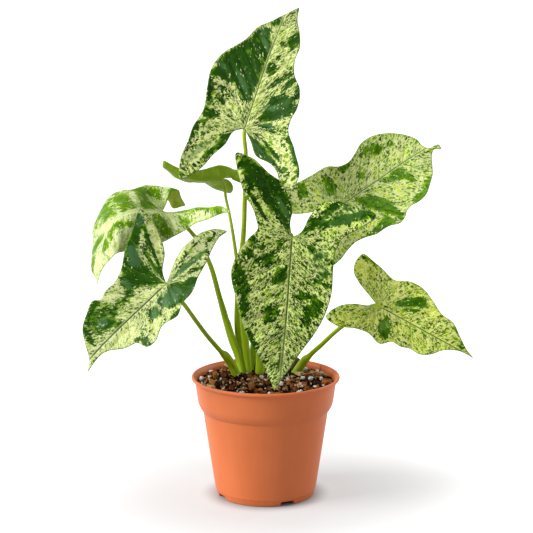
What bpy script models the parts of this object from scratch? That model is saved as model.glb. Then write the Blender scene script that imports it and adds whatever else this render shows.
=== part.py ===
"""Potted syngonium: a young variegated arrowhead plant in a 12 cm plastic nursery pot.

The origin is the centre of the pot's foot, +Z is up and -Y is the front. Lengths are written in millimetres
and turned into metres where a mesh is made.
"""

import math

import bmesh
import bpy
import numpy as np
from mathutils import Vector
from mathutils.geometry import delaunay_2d_cdt

MM = 0.001
GAP = 0.3                    # clearance between pieces that touch on the real plant

# Pot: a turned shell with a rolled lip, an upper band, a step and a tapered wall.
POT_SIDES = 64
WALL = 1.2
LIP_RADIUS, LIP_TOP, LIP_LOW = 60.0, 98.6, 95.9
BAND_TOP_RADIUS, BAND_FOOT_RADIUS, BAND_FOOT = 57.2, 54.4, 76.0
STEP_RADIUS, STEP_FOOT = 50.6, 70.0
FOOT_RADIUS, FOOT_CORNER = 38.8, 5.0
CORNER_RADIUS = 40.8         # outer radius just above the rounded foot corner
FLOOR = 4.2                  # underside of the raised floor
PAD_RADIUS = 12.0            # central pad under the floor, level with the foot ring
NOTCH_ANGLES = (-63.5, 26.5, 116.5, 206.5)
NOTCH_WIDTH, NOTCH_TOP_WIDTH, NOTCH_HEIGHT = 14.0, 11.0, 3.8
DRAIN_RADIUS, DRAIN_PLACE = 3.5, 29.0

# Potting mix: fills the pot to just under the lip and rises a little at the crown.
SOIL_SIDES = POT_SIDES
SOIL_EDGE, SOIL_CROWN, CROWN_RADIUS = 93.2, 97.2, 28.0
BARK_COUNT, BARK_SIZE = 14, (3.4, 4.8)
PERLITE_COUNT, PERLITE_SIZE = 14, (1.5, 2.3)
MIX_SEED = 21

# Blades and stalks.
BLADE_THICK = 0.9
BLADE_GRID = 7.5
EDGE_STEP = 6.0
STALK_SIDES = 10
STALK_STEP = 9.0

COLOURS = {
    "terracotta plastic": ((0.66, 0.24, 0.12), 0.42),
    "potting mix": ((0.03, 0.015, 0.008), 0.95),
    "bark": ((0.12, 0.045, 0.02), 0.85),
    "perlite": ((0.85, 0.83, 0.78), 0.9),
    "leaf, dark and cream": ((0.16, 0.32, 0.09), 0.4),
    "leaf, pale speckled": ((0.38, 0.5, 0.14), 0.42),
    "leaf, plain green": ((0.15, 0.3, 0.04), 0.45),
    "leaf stalk": ((0.19, 0.35, 0.03), 0.4),
    "dry sheath": ((0.2, 0.08, 0.04), 0.8),
}


def material(name):
    colour, roughness = COLOURS[name]
    made = bpy.data.materials.new(name)
    made.use_nodes = True
    shader = made.node_tree.nodes["Principled BSDF"]
    shader.inputs["Base Color"].default_value = (*colour, 1)
    shader.inputs["Roughness"].default_value = roughness
    return made


def add_object(name, points, faces, finish, sharp=40):
    """One closed body from points in millimetres, shaded smooth, its faces turned outwards."""
    mesh = bpy.data.meshes.new(name)
    mesh.from_pydata([tuple(MM * float(c) for c in p) for p in points], [], faces)
    work = bmesh.new()
    work.from_mesh(mesh)
    bmesh.ops.recalc_face_normals(work, faces=work.faces)
    work.to_mesh(mesh)
    work.free()
    mesh.shade_smooth()
    mesh.set_sharp_from_angle(angle=math.radians(sharp))
    mesh.materials.append(material(finish))
    thing = bpy.data.objects.new(name, mesh)
    bpy.context.scene.collection.objects.link(thing)
    return thing


def turned(profile, sides):
    """Points and faces of a profile of (radius, height), top to bottom inside the axis, turned about Z."""
    points, rings = [], []
    for radius, height in profile:
        if radius == 0:
            rings.append([len(points)] * sides)
            points.append((0, 0, height))
            continue
        rings.append(list(range(len(points), len(points) + sides)))
        for k in range(sides):
            turn = 2 * math.pi * k / sides
            points.append((radius * math.cos(turn), radius * math.sin(turn), height))
    faces = []
    closed = profile[0][0] != 0
    pairs = list(zip(rings, rings[1:])) + ([(rings[-1], rings[0])] if closed else [])
    for above, below in pairs:
        for k in range(sides):
            n = (k + 1) % sides
            corners = [above[k], below[k], below[n], above[n]]
            faces.append(tuple(dict.fromkeys(corners)))
    return points, faces


# ---------------------------------------------------------------- pot


def arc(centre, radius, first, last, steps):
    """Points on an arc of a (radius, height) profile, from one angle in degrees to another."""
    turns = [math.radians(first + (last - first) * k / steps) for k in range(steps + 1)]
    return [(centre[0] + radius * math.cos(t), centre[1] + radius * math.sin(t)) for t in turns]


def wall_radius(height):
    """Outer radius of the pot wall at a height: tapered body, step and band."""
    heights = (FOOT_CORNER, STEP_FOOT, BAND_FOOT, LIP_LOW)
    radii = (CORNER_RADIUS, STEP_RADIUS, BAND_FOOT_RADIUS, BAND_TOP_RADIUS)
    return float(np.interp(height, heights, radii))


def pot_profile():
    lip = arc((LIP_RADIUS - 1.3, LIP_TOP - 1.3), 1.3, 90, -30, 4)
    outside = [(LIP_RADIUS - 0.4, LIP_LOW), (BAND_TOP_RADIUS, LIP_LOW)]
    outside += [(wall_radius(z), z) for z in (BAND_FOOT, STEP_FOOT, FOOT_CORNER)]
    foot = arc((FOOT_RADIUS - 0.5, 2.5), 2.5, 0, -90, 3)
    under = [(FOOT_RADIUS - 4.2, 0), (FOOT_RADIUS - 5.4, FLOOR)]
    pad = [(PAD_RADIUS + 3, FLOOR), (PAD_RADIUS, 0), (0, 0)]
    inside = [(0, FLOOR + WALL), (FOOT_RADIUS - 3.4, FLOOR + WALL)]
    for z in (FOOT_CORNER + 4, STEP_FOOT, BAND_FOOT, LIP_LOW):
        inside.append((wall_radius(z) - WALL, z))
    inside.append((LIP_RADIUS - 2.6, LIP_TOP - 0.9))
    return inside, lip + outside + foot + under + pad


def wedge(name, angle, near, far, bottom, top, low_width, high_width):
    """A cutter from one radius to another at an angle, wider at its foot than at its top."""
    points = []
    for reach in (near, far):
        for height, width in ((bottom, low_width), (top, high_width)):
            for side in (-0.5, 0.5):
                points.append((reach, side * width, height))
    faces = [(0, 1, 3, 2), (4, 6, 7, 5), (0, 4, 5, 1), (2, 3, 7, 6), (0, 2, 6, 4), (1, 5, 7, 3)]
    cutter = add_object(name, points, faces, "terracotta plastic")
    cutter.rotation_euler.z = math.radians(angle)
    return cutter


def drain(name, angle):
    profile = [(0, FLOOR + 4), (DRAIN_RADIUS, FLOOR + 4), (DRAIN_RADIUS, FLOOR - 2), (0, FLOOR - 2)]
    points, faces = turned(profile, 16)
    cutter = add_object(name, points, faces, "terracotta plastic")
    turn = math.radians(angle)
    cutter.location = (MM * DRAIN_PLACE * math.cos(turn), MM * DRAIN_PLACE * math.sin(turn), 0)
    return cutter


def cut(thing, cutter):
    cutter.hide_render = True
    cutter.display_type = "WIRE"
    modifier = thing.modifiers.new(cutter.name, "BOOLEAN")
    modifier.operation = "DIFFERENCE"
    modifier.object = cutter


def make_pot():
    inside, outside = pot_profile()
    points, faces = turned(inside + outside, POT_SIDES)
    pot = add_object("pot", points, faces, "terracotta plastic", sharp=50)
    for k, angle in enumerate(NOTCH_ANGLES):
        notch = wedge(f"notch_cutter_{k}", angle, FOOT_RADIUS - 8, FOOT_RADIUS + 4, -1, NOTCH_HEIGHT,
                      NOTCH_WIDTH, NOTCH_TOP_WIDTH)
        cut(pot, notch)
        cut(pot, drain(f"drain_cutter_{k}", angle))


# ---------------------------------------------------------------- potting mix


def soil_height(radius):
    """Height of the smooth surface of the mix at a distance from the pot's axis."""
    edge = wall_radius(SOIL_EDGE) - WALL - GAP
    share = min(max((edge - radius) / (edge - CROWN_RADIUS), 0), 1)
    return SOIL_EDGE + (SOIL_CROWN - SOIL_EDGE) * share * share * (3 - 2 * share)


def make_soil():
    edge = wall_radius(SOIL_EDGE) - WALL - GAP
    reaches = [0] + [CROWN_RADIUS + (edge - CROWN_RADIUS) * k / 4 for k in range(5)]
    profile = [(r, soil_height(r)) for r in reaches]
    profile += [(wall_radius(z) - WALL - GAP, z) for z in (BAND_FOOT, STEP_FOOT, FOOT_CORNER + 4.4)]
    bottom = FLOOR + WALL + GAP
    profile += [(FOOT_RADIUS - 3.8, bottom + 0.2), (0, bottom + 0.2)]
    points, faces = turned(profile, SOIL_SIDES)
    add_object("potting_soil", points, faces, "potting mix")


def lump(name, place, size, flat, random, finish):
    """An angular grain: the convex hull of points scattered on a flattened ball, resting on the mix."""
    ball = random.normal(size=(15, 3))
    ball /= np.linalg.norm(ball, axis=1)[:, None]
    stretch = size * np.array([1.15, random.uniform(0.7, 0.95), flat])
    turn = random.uniform(0, math.pi)
    spin = np.array([[math.cos(turn), -math.sin(turn), 0], [math.sin(turn), math.cos(turn), 0], [0, 0, 1]])
    corners = (ball * stretch) @ spin.T
    corners[:, :2] += place
    corners[:, 2] += max(soil_height(math.hypot(x, y)) - z for x, y, z in corners) + 1.5 * GAP
    work = bmesh.new()
    for corner in corners:
        work.verts.new(corner)
    hull = bmesh.ops.convex_hull(work, input=work.verts)
    bmesh.ops.delete(work, geom=hull["geom_interior"], context="VERTS")
    work.verts.index_update()
    points = [tuple(v.co) for v in work.verts]
    faces = [tuple(v.index for v in f.verts) for f in work.faces]
    work.free()
    add_object(name, points, faces, finish, sharp=20)


def scatter(count, sizes, taken, random):
    """Places for grains on the mix, clear of each other, the stalks, the wall and the watering space."""
    reach = wall_radius(SOIL_EDGE) - WALL
    places = []
    while len(places) < count:
        size = random.uniform(*sizes)
        spot = random.uniform(-reach, reach, 2)
        if math.hypot(*spot) > reach - 1.3 * size - 1:
            continue
        if any(math.hypot(*(spot - other)) < 1.3 * (size + room) for other, room in taken):
            continue
        taken.append((spot, size))
        places.append((spot, size))
    return places


def make_mix():
    random = np.random.default_rng(MIX_SEED)
    taken = [(np.array(route[0][:2]), 4.2) for route, _ in STALKS.values()]
    taken += [(np.array(spot), 9.0) for spot in WATERING_SPOTS]
    for k, (spot, size) in enumerate(scatter(BARK_COUNT, BARK_SIZE, taken, random)):
        lump(f"bark_{k + 1:02d}", spot, size, 0.6, random, "bark")
    for k, (spot, size) in enumerate(scatter(PERLITE_COUNT, PERLITE_SIZE, taken, random)):
        lump(f"perlite_{k + 1:02d}", spot, size, 0.8, random, "perlite")


# ---------------------------------------------------------------- leaf blades


def fold(points, side, crease, start, width, angle, sinus):
    """Bends a sheet softly about a crease.

    Points are (across, along, height) with the stalk's joint at zero and the blade's tip along +along.
    The crease leaves the midrib at `crease` degrees from the across axis. A "left" or "right" fold turns the
    part of that half which lies outwards and behind the crease, and a "tip" fold turns what lies ahead of it.
    The turn starts at `start` from the joint and is spread over `width`; a positive angle lifts the part
    towards the upper face. `sinus` leans the line that parts the two lobes.
    """
    across, along, height = points.T
    turn = math.radians(crease)
    if side == "tip":
        normal = (-math.sin(turn), math.cos(turn))
        part = np.ones(len(points), bool)
    else:
        hand = 1 if side == "right" else -1
        normal = (hand * math.sin(turn), -math.cos(turn))
        parting = np.where(along < 0, -along * math.tan(math.radians(sinus)), 0)
        part = (across - parting) * hand >= 0
    reach = across * normal[0] + along * normal[1] - start
    part &= reach > 0
    reach = np.where(part, reach, 0)
    rate = math.radians(angle) / width
    swing = np.minimum(reach, width) * rate
    beyond = np.maximum(reach - width, 0)
    out = np.sin(swing) / rate + beyond * np.cos(swing) - height * np.sin(swing)
    rise = (1 - np.cos(swing)) / rate + beyond * np.sin(swing) + height * np.cos(swing)
    shift = np.where(part, out - reach, 0)
    return np.column_stack([across + shift * normal[0], along + shift * normal[1],
                            np.where(part, rise, height)])


def blade_axes(heading, climb, roll):
    """Unit vectors across, along and out of the upper face, from the midrib's heading, climb and roll."""
    heading, climb, roll = (math.radians(a) for a in (heading, climb, roll))
    along = np.array([math.cos(climb) * math.cos(heading), math.cos(climb) * math.sin(heading),
                      math.sin(climb)])
    level = np.array([0, 0, 1]) - along * along[2]
    level /= np.linalg.norm(level)
    face = level * math.cos(roll) + np.cross(along, level) * math.sin(roll)
    return np.cross(along, face), along, face


def shaped(flat, leaf):
    """The flat points of a blade, folded and set in place."""
    points = np.column_stack([flat, np.zeros(len(flat))])
    for step in leaf["folds"]:
        points = fold(points, *step, leaf.get("sinus", 0))
    return np.array(leaf["joint"]) + points @ np.array(blade_axes(*leaf["pose"]))


def smooth_line(points, spacing):
    """A smooth curve through points, resampled at about the spacing, both ends included."""
    points = np.array(points, float)
    at = np.concatenate([[0], np.cumsum(np.linalg.norm(np.diff(points, axis=0), axis=1))])
    slopes = np.gradient(points, at, axis=0)
    samples = np.linspace(0, at[-1], max(2, round(at[-1] / spacing)) + 1)
    k = np.clip(np.searchsorted(at, samples, side="right") - 1, 0, len(at) - 2)
    length = (at[k + 1] - at[k])[:, None]
    t = ((samples - at[k])[:, None]) / length
    return ((2 * t**3 - 3 * t**2 + 1) * points[k] + (t**3 - 2 * t**2 + t) * length * slopes[k]
            + (3 * t**2 - 2 * t**3) * points[k + 1] + (t**3 - t**2) * length * slopes[k + 1])


def blade_outline(leaf):
    """The flat outline, anticlockwise: tip, left margin, left lobe, joint, right lobe, right margin."""
    tip, joint = leaf["tip"], (0, 0)
    left = smooth_line([tip, *leaf["left"], joint], EDGE_STEP)
    right = smooth_line([joint, *leaf["right"], tip], EDGE_STEP)
    return np.concatenate([left[:-1], right[:-1]])


def inner_grid(outline, spacing):
    """A triangular grid of points inside an outline, kept clear of its edge."""
    low, high = outline.min(axis=0), outline.max(axis=0)
    row_step = spacing * math.sqrt(3) / 2
    grid = []
    for row in range(int((high[1] - low[1]) / row_step) + 1):
        shift = spacing / 2 if row % 2 else 0
        for column in range(int((high[0] - low[0]) / spacing) + 2):
            grid.append((low[0] + column * spacing + shift, low[1] + row * row_step))
    grid = np.array(grid)
    ends = np.roll(outline, -1, axis=0)
    rises = (outline[None, :, 1] > grid[:, None, 1]) != (ends[None, :, 1] > grid[:, None, 1])
    run = ends - outline
    slope = np.where(run[:, 1] == 0, 0, run[:, 0] / np.where(run[:, 1] == 0, 1, run[:, 1]))
    cross = outline[:, 0] + (grid[:, None, 1] - outline[:, 1]) * slope
    inside = (rises & (grid[:, None, 0] < cross)).sum(axis=1) % 2 == 1
    away = np.linalg.norm(grid[:, None] - outline[None], axis=2).min(axis=1) > 0.55 * spacing
    return grid[inside & away]


def make_blade(letter, leaf):
    outline = blade_outline(leaf)
    flat = np.concatenate([outline, inner_grid(outline, BLADE_GRID)])
    loop = list(range(len(outline)))
    cells = delaunay_2d_cdt([Vector(p) for p in flat], [], [loop], 1, 1e-5)
    flat = np.array([tuple(p) for p in cells[0]])
    triangles = [tuple(t) for t in cells[2]]
    middle = shaped(flat, leaf)
    nudge = 0.05
    du = shaped(flat + [nudge, 0], leaf) - shaped(flat - [nudge, 0], leaf)
    dv = shaped(flat + [0, nudge], leaf) - shaped(flat - [0, nudge], leaf)
    out = np.cross(du, dv)
    out *= BLADE_THICK / 2 / np.linalg.norm(out, axis=1)[:, None]
    count = len(flat)
    points = np.concatenate([middle + out, middle - out])
    faces = triangles + [(c + count, b + count, a + count) for a, b, c in triangles]
    edges = {(t[k], t[(k + 1) % 3]) for t in triangles for k in range(3)}
    for a, b in sorted(edges):
        if (b, a) not in edges:
            faces.append((b, a, a + count, b + count))
    add_object(f"blade_{letter}", points, faces, leaf["finish"])


# ---------------------------------------------------------------- leaf stalks


def make_tube(name, route, girths, finish, sides):
    """A tapering stalk along a route from its foot, cut level at the mix; girths are (share, radius)."""
    line = smooth_line(route, STALK_STEP)
    shares = np.linspace(0, 1, len(line))
    radii = np.interp(shares, *zip(*girths))
    tangents = np.gradient(line, axis=0)
    tangents /= np.linalg.norm(tangents, axis=1)[:, None]
    points = []
    across = np.cross(tangents[0], (0, 1, 0))
    for k, (spot, tangent, radius) in enumerate(zip(line, tangents, radii)):
        across -= tangent * (across @ tangent)
        across /= np.linalg.norm(across)
        deep = np.cross(tangent, across)
        for turn in np.arange(sides) * 2 * math.pi / sides:
            rim = spot + radius * (math.cos(turn) * across + math.sin(turn) * deep)
            if k == 0:
                rim = rim - tangent * ((rim[2] - spot[2]) / tangent[2])
            points.append(rim)
    rings = [list(range(k * sides, (k + 1) * sides)) for k in range(len(line))]
    faces = [tuple(rings[0][::-1]), tuple(rings[-1])]
    for lower, upper in zip(rings, rings[1:]):
        for k in range(sides):
            n = (k + 1) % sides
            faces.append((lower[k], lower[n], upper[n], upper[k]))
    add_object(name, points, faces, finish)


def stalk_route(letter):
    """The stalk's route, from the mix to just behind the blade's joint."""
    route, stop = STALKS[letter][0], STALK_STOPS[letter]
    leaf = LEAVES[letter]
    across, along, face = blade_axes(*leaf["pose"])
    end = np.array(leaf["joint"]) + stop[0] * across + stop[1] * along + stop[2] * face
    foot = np.array(route[0], float)
    foot[2] = soil_height(math.hypot(*foot[:2])) + GAP
    return [foot, *route[1:], end]


# Each blade: joint (mm), pose (heading, climb, roll in degrees), folds, and its flat outline from the tip
# down the left margin and lobe, and from the joint out along the right lobe and up the right margin.
LEAVES = {
    "a": dict(
        finish="leaf, dark and cream", joint=(-17, 30, 294.7), pose=(57, 57, 24),
        folds=[("left", -35, 26, 30, -25), ("right", -35, 22, 30, -20), ("left", 90, 4, 26, 14),
               ("right", 90, 4, 26, 14), ("tip", 0, 50, 60, -18)],
        tip=(9, 121),
        left=[(-7, 102), (-17, 90), (-23.5, 74), (-29.5, 65.5), (-35, 59), (-40, 48), (-41.2, 38),
              (-39.5, 25), (-36.5, 5), (-40, -12),
              (-40, -24), (-41, -40), (-36, -56), (-24, -44), (-17, -28), (-11, -17), (-7, -4)],
        right=[(8, -9), (16, -20), (31, -25), (38, -31), (47, -44), (54, -44), (57, -34), (46, -9),
               (35, 9), (35, 17), (37, 26), (34, 43), (25, 56), (22, 67), (22, 80), (18, 93), (11, 109)]),
    "b": dict(
        finish="leaf, plain green", joint=(-36.6, 54, 250.2), pose=(214, 3, 33),
        folds=[("right", 44, 2, 12, -41), ("left", 25, 2, 14, 40), ("left", 90, 1, 14, 60),
               ("right", 90, 1, 14, 40), ("tip", 0, 16, 24, 36)],
        tip=(-3.6, 56.6),
        left=[(-4, 53), (-4.2, 46), (-6, 39), (-9, 31), (-11, 24), (-13.5, 15), (-15, 6), (-13.5, -2),
              (-9.5, -11), (-5, -18), (0, -20), (0, -9)],
        right=[(3, -11), (8, -16.5), (15.4, -19), (18, -14), (20.4, -4), (21, 2), (18.5, 10), (19, 18),
               (21, 26), (23, 33), (20, 42), (12, 49), (3, 54)]),
    "c": dict(
        finish="leaf, pale speckled", joint=(-83.2, 32, 227.4), pose=(227, 8, -34),
        folds=[("left", 27, 2, 22, 90), ("left", 60, 20, 26, 30), ("right", 42, 21, 11, -115),
               ("right", 11, 3, 14, 60), ("left", 90, 1, 30, -60), ("tip", -39, 19, 35, -85),
               ("tip", -21, 45, 31, -34)],
        tip=(3.5, 108),
        left=[(-5, 100), (-11, 93), (-20, 86), (-26, 76), (-32, 61), (-35, 44), (-33, 28), (-28, 9),
              (-24, -1), (-22, -14), (-32, -35), (-37, -46), (-44, -57), (-35, -48), (-28, -38),
              (-12, -21), (-3, -11)],
        right=[(6, -7), (12, -14), (14, -21), (22, -32), (30, -42), (34, -39), (33, -28), (32, -18),
               (33, -10), (31, 2), (30, 10), (35, 20), (42, 30), (47, 41), (45, 53), (33, 69),
               (27, 84), (22, 94), (13, 102)]),
    "d": dict(
        finish="leaf, dark and cream", joint=(-77.1, -46, 183.7), pose=(207, -38, -46), sinus=22,
        folds=[("left", 0, 14, 30, -18), ("right", -10, 6, 24, -20), ("left", 90, 3, 24, 24),
               ("right", 90, 3, 24, 14), ("tip", 0, 45, 60, -20)],
        tip=(-6, 92),
        left=[(-5, 73), (-15, 59), (-20, 50), (-29, 47), (-31, 41), (-25, 27), (-28, 14), (-22, 3),
              (-21, -9), (-15, -20), (-9, -35), (-3, -48), (1, -60), (1, -68), (8, -63), (13, -52),
              (13, -38), (11, -24), (6, -12)],
        right=[(9, -5), (19, -17), (31, -24), (42, -28), (57, -28), (50, -12), (42, 4), (32, 19),
               (29, 29), (29, 38), (27, 45), (30, 49), (26, 61), (21, 70), (10, 78), (-1, 85)]),
    "e": dict(
        finish="leaf, dark and cream", joint=(20.6, -30, 217.5), pose=(262, -60, -18),
        folds=[("left", 0, 14, 30, -20), ("right", -20, 20, 40, -14), ("left", 90, 4, 30, 10),
               ("right", 90, 4, 30, 10), ("tip", 0, 45, 90, -20)],
        tip=(3, 123),
        left=[(-1, 114), (-6, 106), (-14, 91), (-23, 76), (-29, 63), (-34, 42), (-34, 22), (-35, 8),
              (-40, -3), (-54, -13), (-65, -24), (-57, -30), (-44, -32), (-33, -35), (-22, -31),
              (-13, -19), (-6, -4)],
        right=[(2, -12), (1, -22), (5, -34), (12, -45), (24, -52), (38, -61), (50, -62), (48, -49),
               (41, -29), (30, -11), (28, -3), (35, 7), (42, 19), (47, 35), (43, 51), (34, 75),
               (24, 92), (13, 106), (7, 116)]),
    "f": dict(
        finish="leaf, pale speckled", joint=(57.4, 42, 227.4), pose=(353, 36, 56),
        folds=[("right", 40, 6, 14, -50), ("left", 90, 4, 30, 10), ("right", 90, 4, 26, 10),
               ("tip", 0, 60, 40, -15)],
        tip=(7.5, 99),
        left=[(2.5, 98.5), (1.5, 95), (1.5, 91.5), (-4, 87), (-11, 86), (-17, 82.5), (-24, 76), (-31, 66),
              (-35.5, 55), (-35.5, 45), (-31.5, 37), (-28.5, 29), (-30, 20), (-35.5, 12), (-38, -5),
              (-40, -18), (-50, -34), (-50, -45), (-38, -46), (-24, -38), (-13, -24), (-6, -9)],
        right=[(8, -12), (17, -27), (24, -40), (30, -42), (32, -33), (32, -18), (32.5, -6), (36.5, 7.5),
               (42, 20), (44, 32), (47.5, 42), (45, 47), (41, 50), (39, 55), (40, 62), (38, 70), (32, 77),
               (25, 82), (16, 86), (7.5, 90), (4.6, 93)]),
    "g": dict(
        finish="leaf, pale speckled", joint=(88.2, -18, 160.5), pose=(338, -24, 68),
        folds=[("left", 90, 3, 24, 10), ("right", 90, 3, 24, 10), ("tip", 0, 50, 40, -15)],
        tip=(0, 88),
        left=[(-3, 80), (-9, 71), (-17, 59), (-18, 50), (-24, 38), (-29, 26), (-29, 15), (-24, 2),
              (-27, -9), (-29, -18), (-30, -30), (-23, -32), (-15, -30), (-9, -22), (-4, -10)],
        right=[(4, -7), (8, -17), (15, -26), (28, -31), (30, -20), (24, -3), (23, 5), (26, 18),
               (20, 25), (20, 33), (18, 40), (18, 50), (14, 57), (7, 63), (1, 74)]),
}

# Each stalk: its route (mm) from the mix, and its girth as (share of the route, radius).
STALKS = {
    "a": ([(-18, 24.5, 97), (-19.4, 26, 104.6), (-22.8, 31, 128.6), (-23, 34, 149), (-20.6, 34.5, 184.8),
           (-18.4, 33, 203.3), (-16.9, 31, 236.6), (-16, 30, 275)],
          [(0, 2.9), (0.22, 2.7), (0.3, 2.4), (0.6, 2), (1, 1.6)]),
    "b": ([(-14.6, 14.5, 97), (-15.3, 16, 107), (-17.8, 20, 131), (-21.8, 28, 171), (-25.9, 36, 203),
           (-32.3, 50, 233.5)], [(0, 2.8), (0.15, 2.8), (0.3, 2.3), (0.4, 1.6), (1, 1.1)]),
    "c": ([(-19.6, 11.5, 97), (-21.7, 16, 107), (-27.6, 22, 122.5), (-37.1, 31, 154), (-46.8, 34, 186.5),
           (-56.7, 34, 204.8), (-72, 33.5, 220)],
          [(0, 2.8), (0.2, 2.9), (0.36, 2.6), (0.42, 2.2), (0.8, 1.7), (1, 1.4)]),
    "d": ([(-23.2, 3.5, 97), (-27.4, 1, 106), (-31.8, -2.5, 114), (-36.9, -7.5, 121.2), (-46.9, -18, 136),
           (-55.4, -28, 150.6), (-64.6, -37, 166.3)], [(0, 3.1), (0.2, 3), (0.26, 1.9), (1, 1.6)]),
    "e": ([(-4.8, 11, 97), (-4, 13, 112), (0, 10, 150), (9, -3, 188)],
          [(0, 3.3), (0.3, 2.7), (1, 1.6)]),
    "f": ([(-10.2, 25, 97), (-9.4, 28, 119), (2, 33, 160), (22, 40, 186), (42, 47, 208)],
          [(0, 2.6), (0.4, 2.2), (1, 1.6)]),
    "g": ([(23.9, 12.3, 97), (28.3, 10.5, 102.6), (32.9, 8, 109.7), (45.4, 0, 124.2), (60.2, -9, 140.3),
           (71, -13.5, 149)], [(0, 2.9), (0.17, 2.8), (0.24, 2), (1, 1.4)]),
}

# Where each stalk stops, measured from the blade's joint (across, along, out of the upper face).
STALK_STOPS = {"a": (0, -2.6, -0.6), "b": (0, -1.0, -2.2), "c": (1.5, -1.5, -2.6), "d": (0, 1.0, -2.8),
               "e": (0, 0, -2.6), "f": (0, 0, -2.8), "g": (0, 0, -2.6)}

WATERING_SPOTS = [(0, -42), (34, -26), (-38, -22)]   # bare places where water is poured


def main():
    for thing in list(bpy.data.objects):
        bpy.data.objects.remove(thing, do_unlink=True)
    make_pot()
    make_soil()
    make_mix()
    for letter, leaf in LEAVES.items():
        make_blade(letter, leaf)
        make_tube(f"petiole_{letter}", stalk_route(letter), STALKS[letter][1], "leaf stalk", STALK_SIDES)
    make_tube("dried_sheath", [(-8.4, 18, 97.6), (-8, 19, 102), (-6.6, 20, 109)],
              [(0, 1.4), (0.5, 1.1), (1, 0.5)], "dry sheath", 6)
    make_tube("old_stalk_stub", [(22.5, 22, 97.6), (24, 24, 101), (27, 26, 106)],
              [(0, 2), (1, 1.4)], "dry sheath", 6)


main()
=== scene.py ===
"""Looks of the potted syngonium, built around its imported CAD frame.

Lengths are in millimetres until a mesh is made, angles in degrees. The frame is the CAD's: the origin is the
centre of the pot's foot, +Z is up and -Y is the front.
"""

import math

import bmesh
import bpy
import numpy as np
from mathutils import Matrix, Vector
from mathutils.geometry import delaunay_2d_cdt


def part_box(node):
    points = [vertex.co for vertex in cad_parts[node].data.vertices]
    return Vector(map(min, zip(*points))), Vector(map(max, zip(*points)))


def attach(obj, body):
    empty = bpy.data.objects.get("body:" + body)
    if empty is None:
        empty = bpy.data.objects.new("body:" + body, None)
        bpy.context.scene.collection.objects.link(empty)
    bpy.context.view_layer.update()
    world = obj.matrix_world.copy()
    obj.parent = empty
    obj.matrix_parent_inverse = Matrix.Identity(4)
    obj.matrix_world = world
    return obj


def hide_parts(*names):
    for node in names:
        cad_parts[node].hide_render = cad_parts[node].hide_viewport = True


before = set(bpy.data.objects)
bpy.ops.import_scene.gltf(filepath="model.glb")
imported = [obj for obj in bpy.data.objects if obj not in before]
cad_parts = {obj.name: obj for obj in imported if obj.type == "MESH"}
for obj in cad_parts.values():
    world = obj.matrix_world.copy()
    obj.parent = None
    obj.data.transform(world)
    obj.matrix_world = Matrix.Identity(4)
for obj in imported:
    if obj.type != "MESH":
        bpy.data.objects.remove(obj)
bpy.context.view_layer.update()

MM = 0.001
TURN = 2 * math.pi
VEIN_SPACING = 12.0          # between neighbouring side veins

# ---------------------------------------------------------------- small tools


def ease(value, low, high):
    """Smooth step from 0 at low to 1 at high."""
    t = np.clip((value - low) / (high - low), 0, 1)
    return t * t * (3 - 2 * t)


def lattice_noise(spots, scale, seed, size=64):
    """Smooth noise from -1 to 1 over a plane, with features of about the scale."""
    table = np.random.default_rng(seed).uniform(-1, 1, (size, size))
    place = np.asarray(spots, float) / scale
    cell = np.floor(place).astype(int)
    t = place - cell
    t = t * t * (3 - 2 * t)
    total = 0
    for i in (0, 1):
        for j in (0, 1):
            weight = (t[:, 0] if i else 1 - t[:, 0]) * (t[:, 1] if j else 1 - t[:, 1])
            total = total + weight * table[(cell[:, 0] + i) % size, (cell[:, 1] + j) % size]
    return total


def ring(radius, sides):
    """Evenly spaced (x, y) points on a circle."""
    return [(radius * math.cos(TURN * k / sides), radius * math.sin(TURN * k / sides)) for k in range(sides)]


def band(a, b, sides):
    """Quads between two rings of points, each ring given by the index of its first point."""
    return [(a + i, b + i, b + (i + 1) % sides, a + (i + 1) % sides) for i in range(sides)]


def place_object(name, data):
    """A new object in the scene."""
    thing = bpy.data.objects.new(name, data)
    bpy.context.scene.collection.objects.link(thing)
    return thing


def add_piece(name, points, faces, finishes, smooth=True, sharp=None, outward=True):
    """A new object from points in millimetres; finishes are its materials, sharp its least hard angle."""
    mesh = bpy.data.meshes.new(name)
    mesh.from_pydata((np.asarray(points, float) * MM).tolist(), [], [tuple(f) for f in faces])
    if outward:
        work = bmesh.new()
        work.from_mesh(mesh)
        bmesh.ops.recalc_face_normals(work, faces=work.faces)
        work.to_mesh(mesh)
        work.free()
    if smooth:
        mesh.shade_smooth()
    if sharp:
        mesh.set_sharp_from_angle(angle=math.radians(sharp))
    for finish in finishes:
        mesh.materials.append(finish)
    return place_object(name, mesh)


def settle(piece, slot, *nodes):
    """Rides a piece on the plant's one body and hides the CAD nodes that it stands for. Its slot is not used.
    """
    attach(piece, "root")
    if nodes:
        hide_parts(*nodes)


def drained(work):
    """Points and faces of a bmesh, which is then freed."""
    points = np.array([tuple(v.co) for v in work.verts])
    faces = [tuple(v.index for v in f.verts) for f in work.faces]
    work.free()
    return points, faces


def write_attribute(mesh, name, values, domain):
    layer = mesh.attributes.new(name, "FLOAT_VECTOR", domain)
    layer.data.foreach_set("vector", np.asarray(values, np.float32).ravel())


# ---------------------------------------------------------------- materials


def colour(red, green, blue):
    """A display colour, 0 to 255, as linear light."""
    shares = (part / 255 for part in (red, green, blue))
    return (*(s / 12.92 if s <= 0.04045 else ((s + 0.055) / 1.055) ** 2.4 for s in shares), 1)


class Value:
    """A node's output. Sums, differences and products of values are Math nodes."""

    def __init__(self, graph, socket):
        self.graph, self.socket = graph, socket

    def __add__(self, other):
        return self.graph.math("ADD", self, other)

    def __sub__(self, other):
        return self.graph.math("SUBTRACT", self, other)

    def __mul__(self, other):
        return self.graph.math("MULTIPLY", self, other)

    __radd__, __rmul__ = __add__, __mul__


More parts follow.
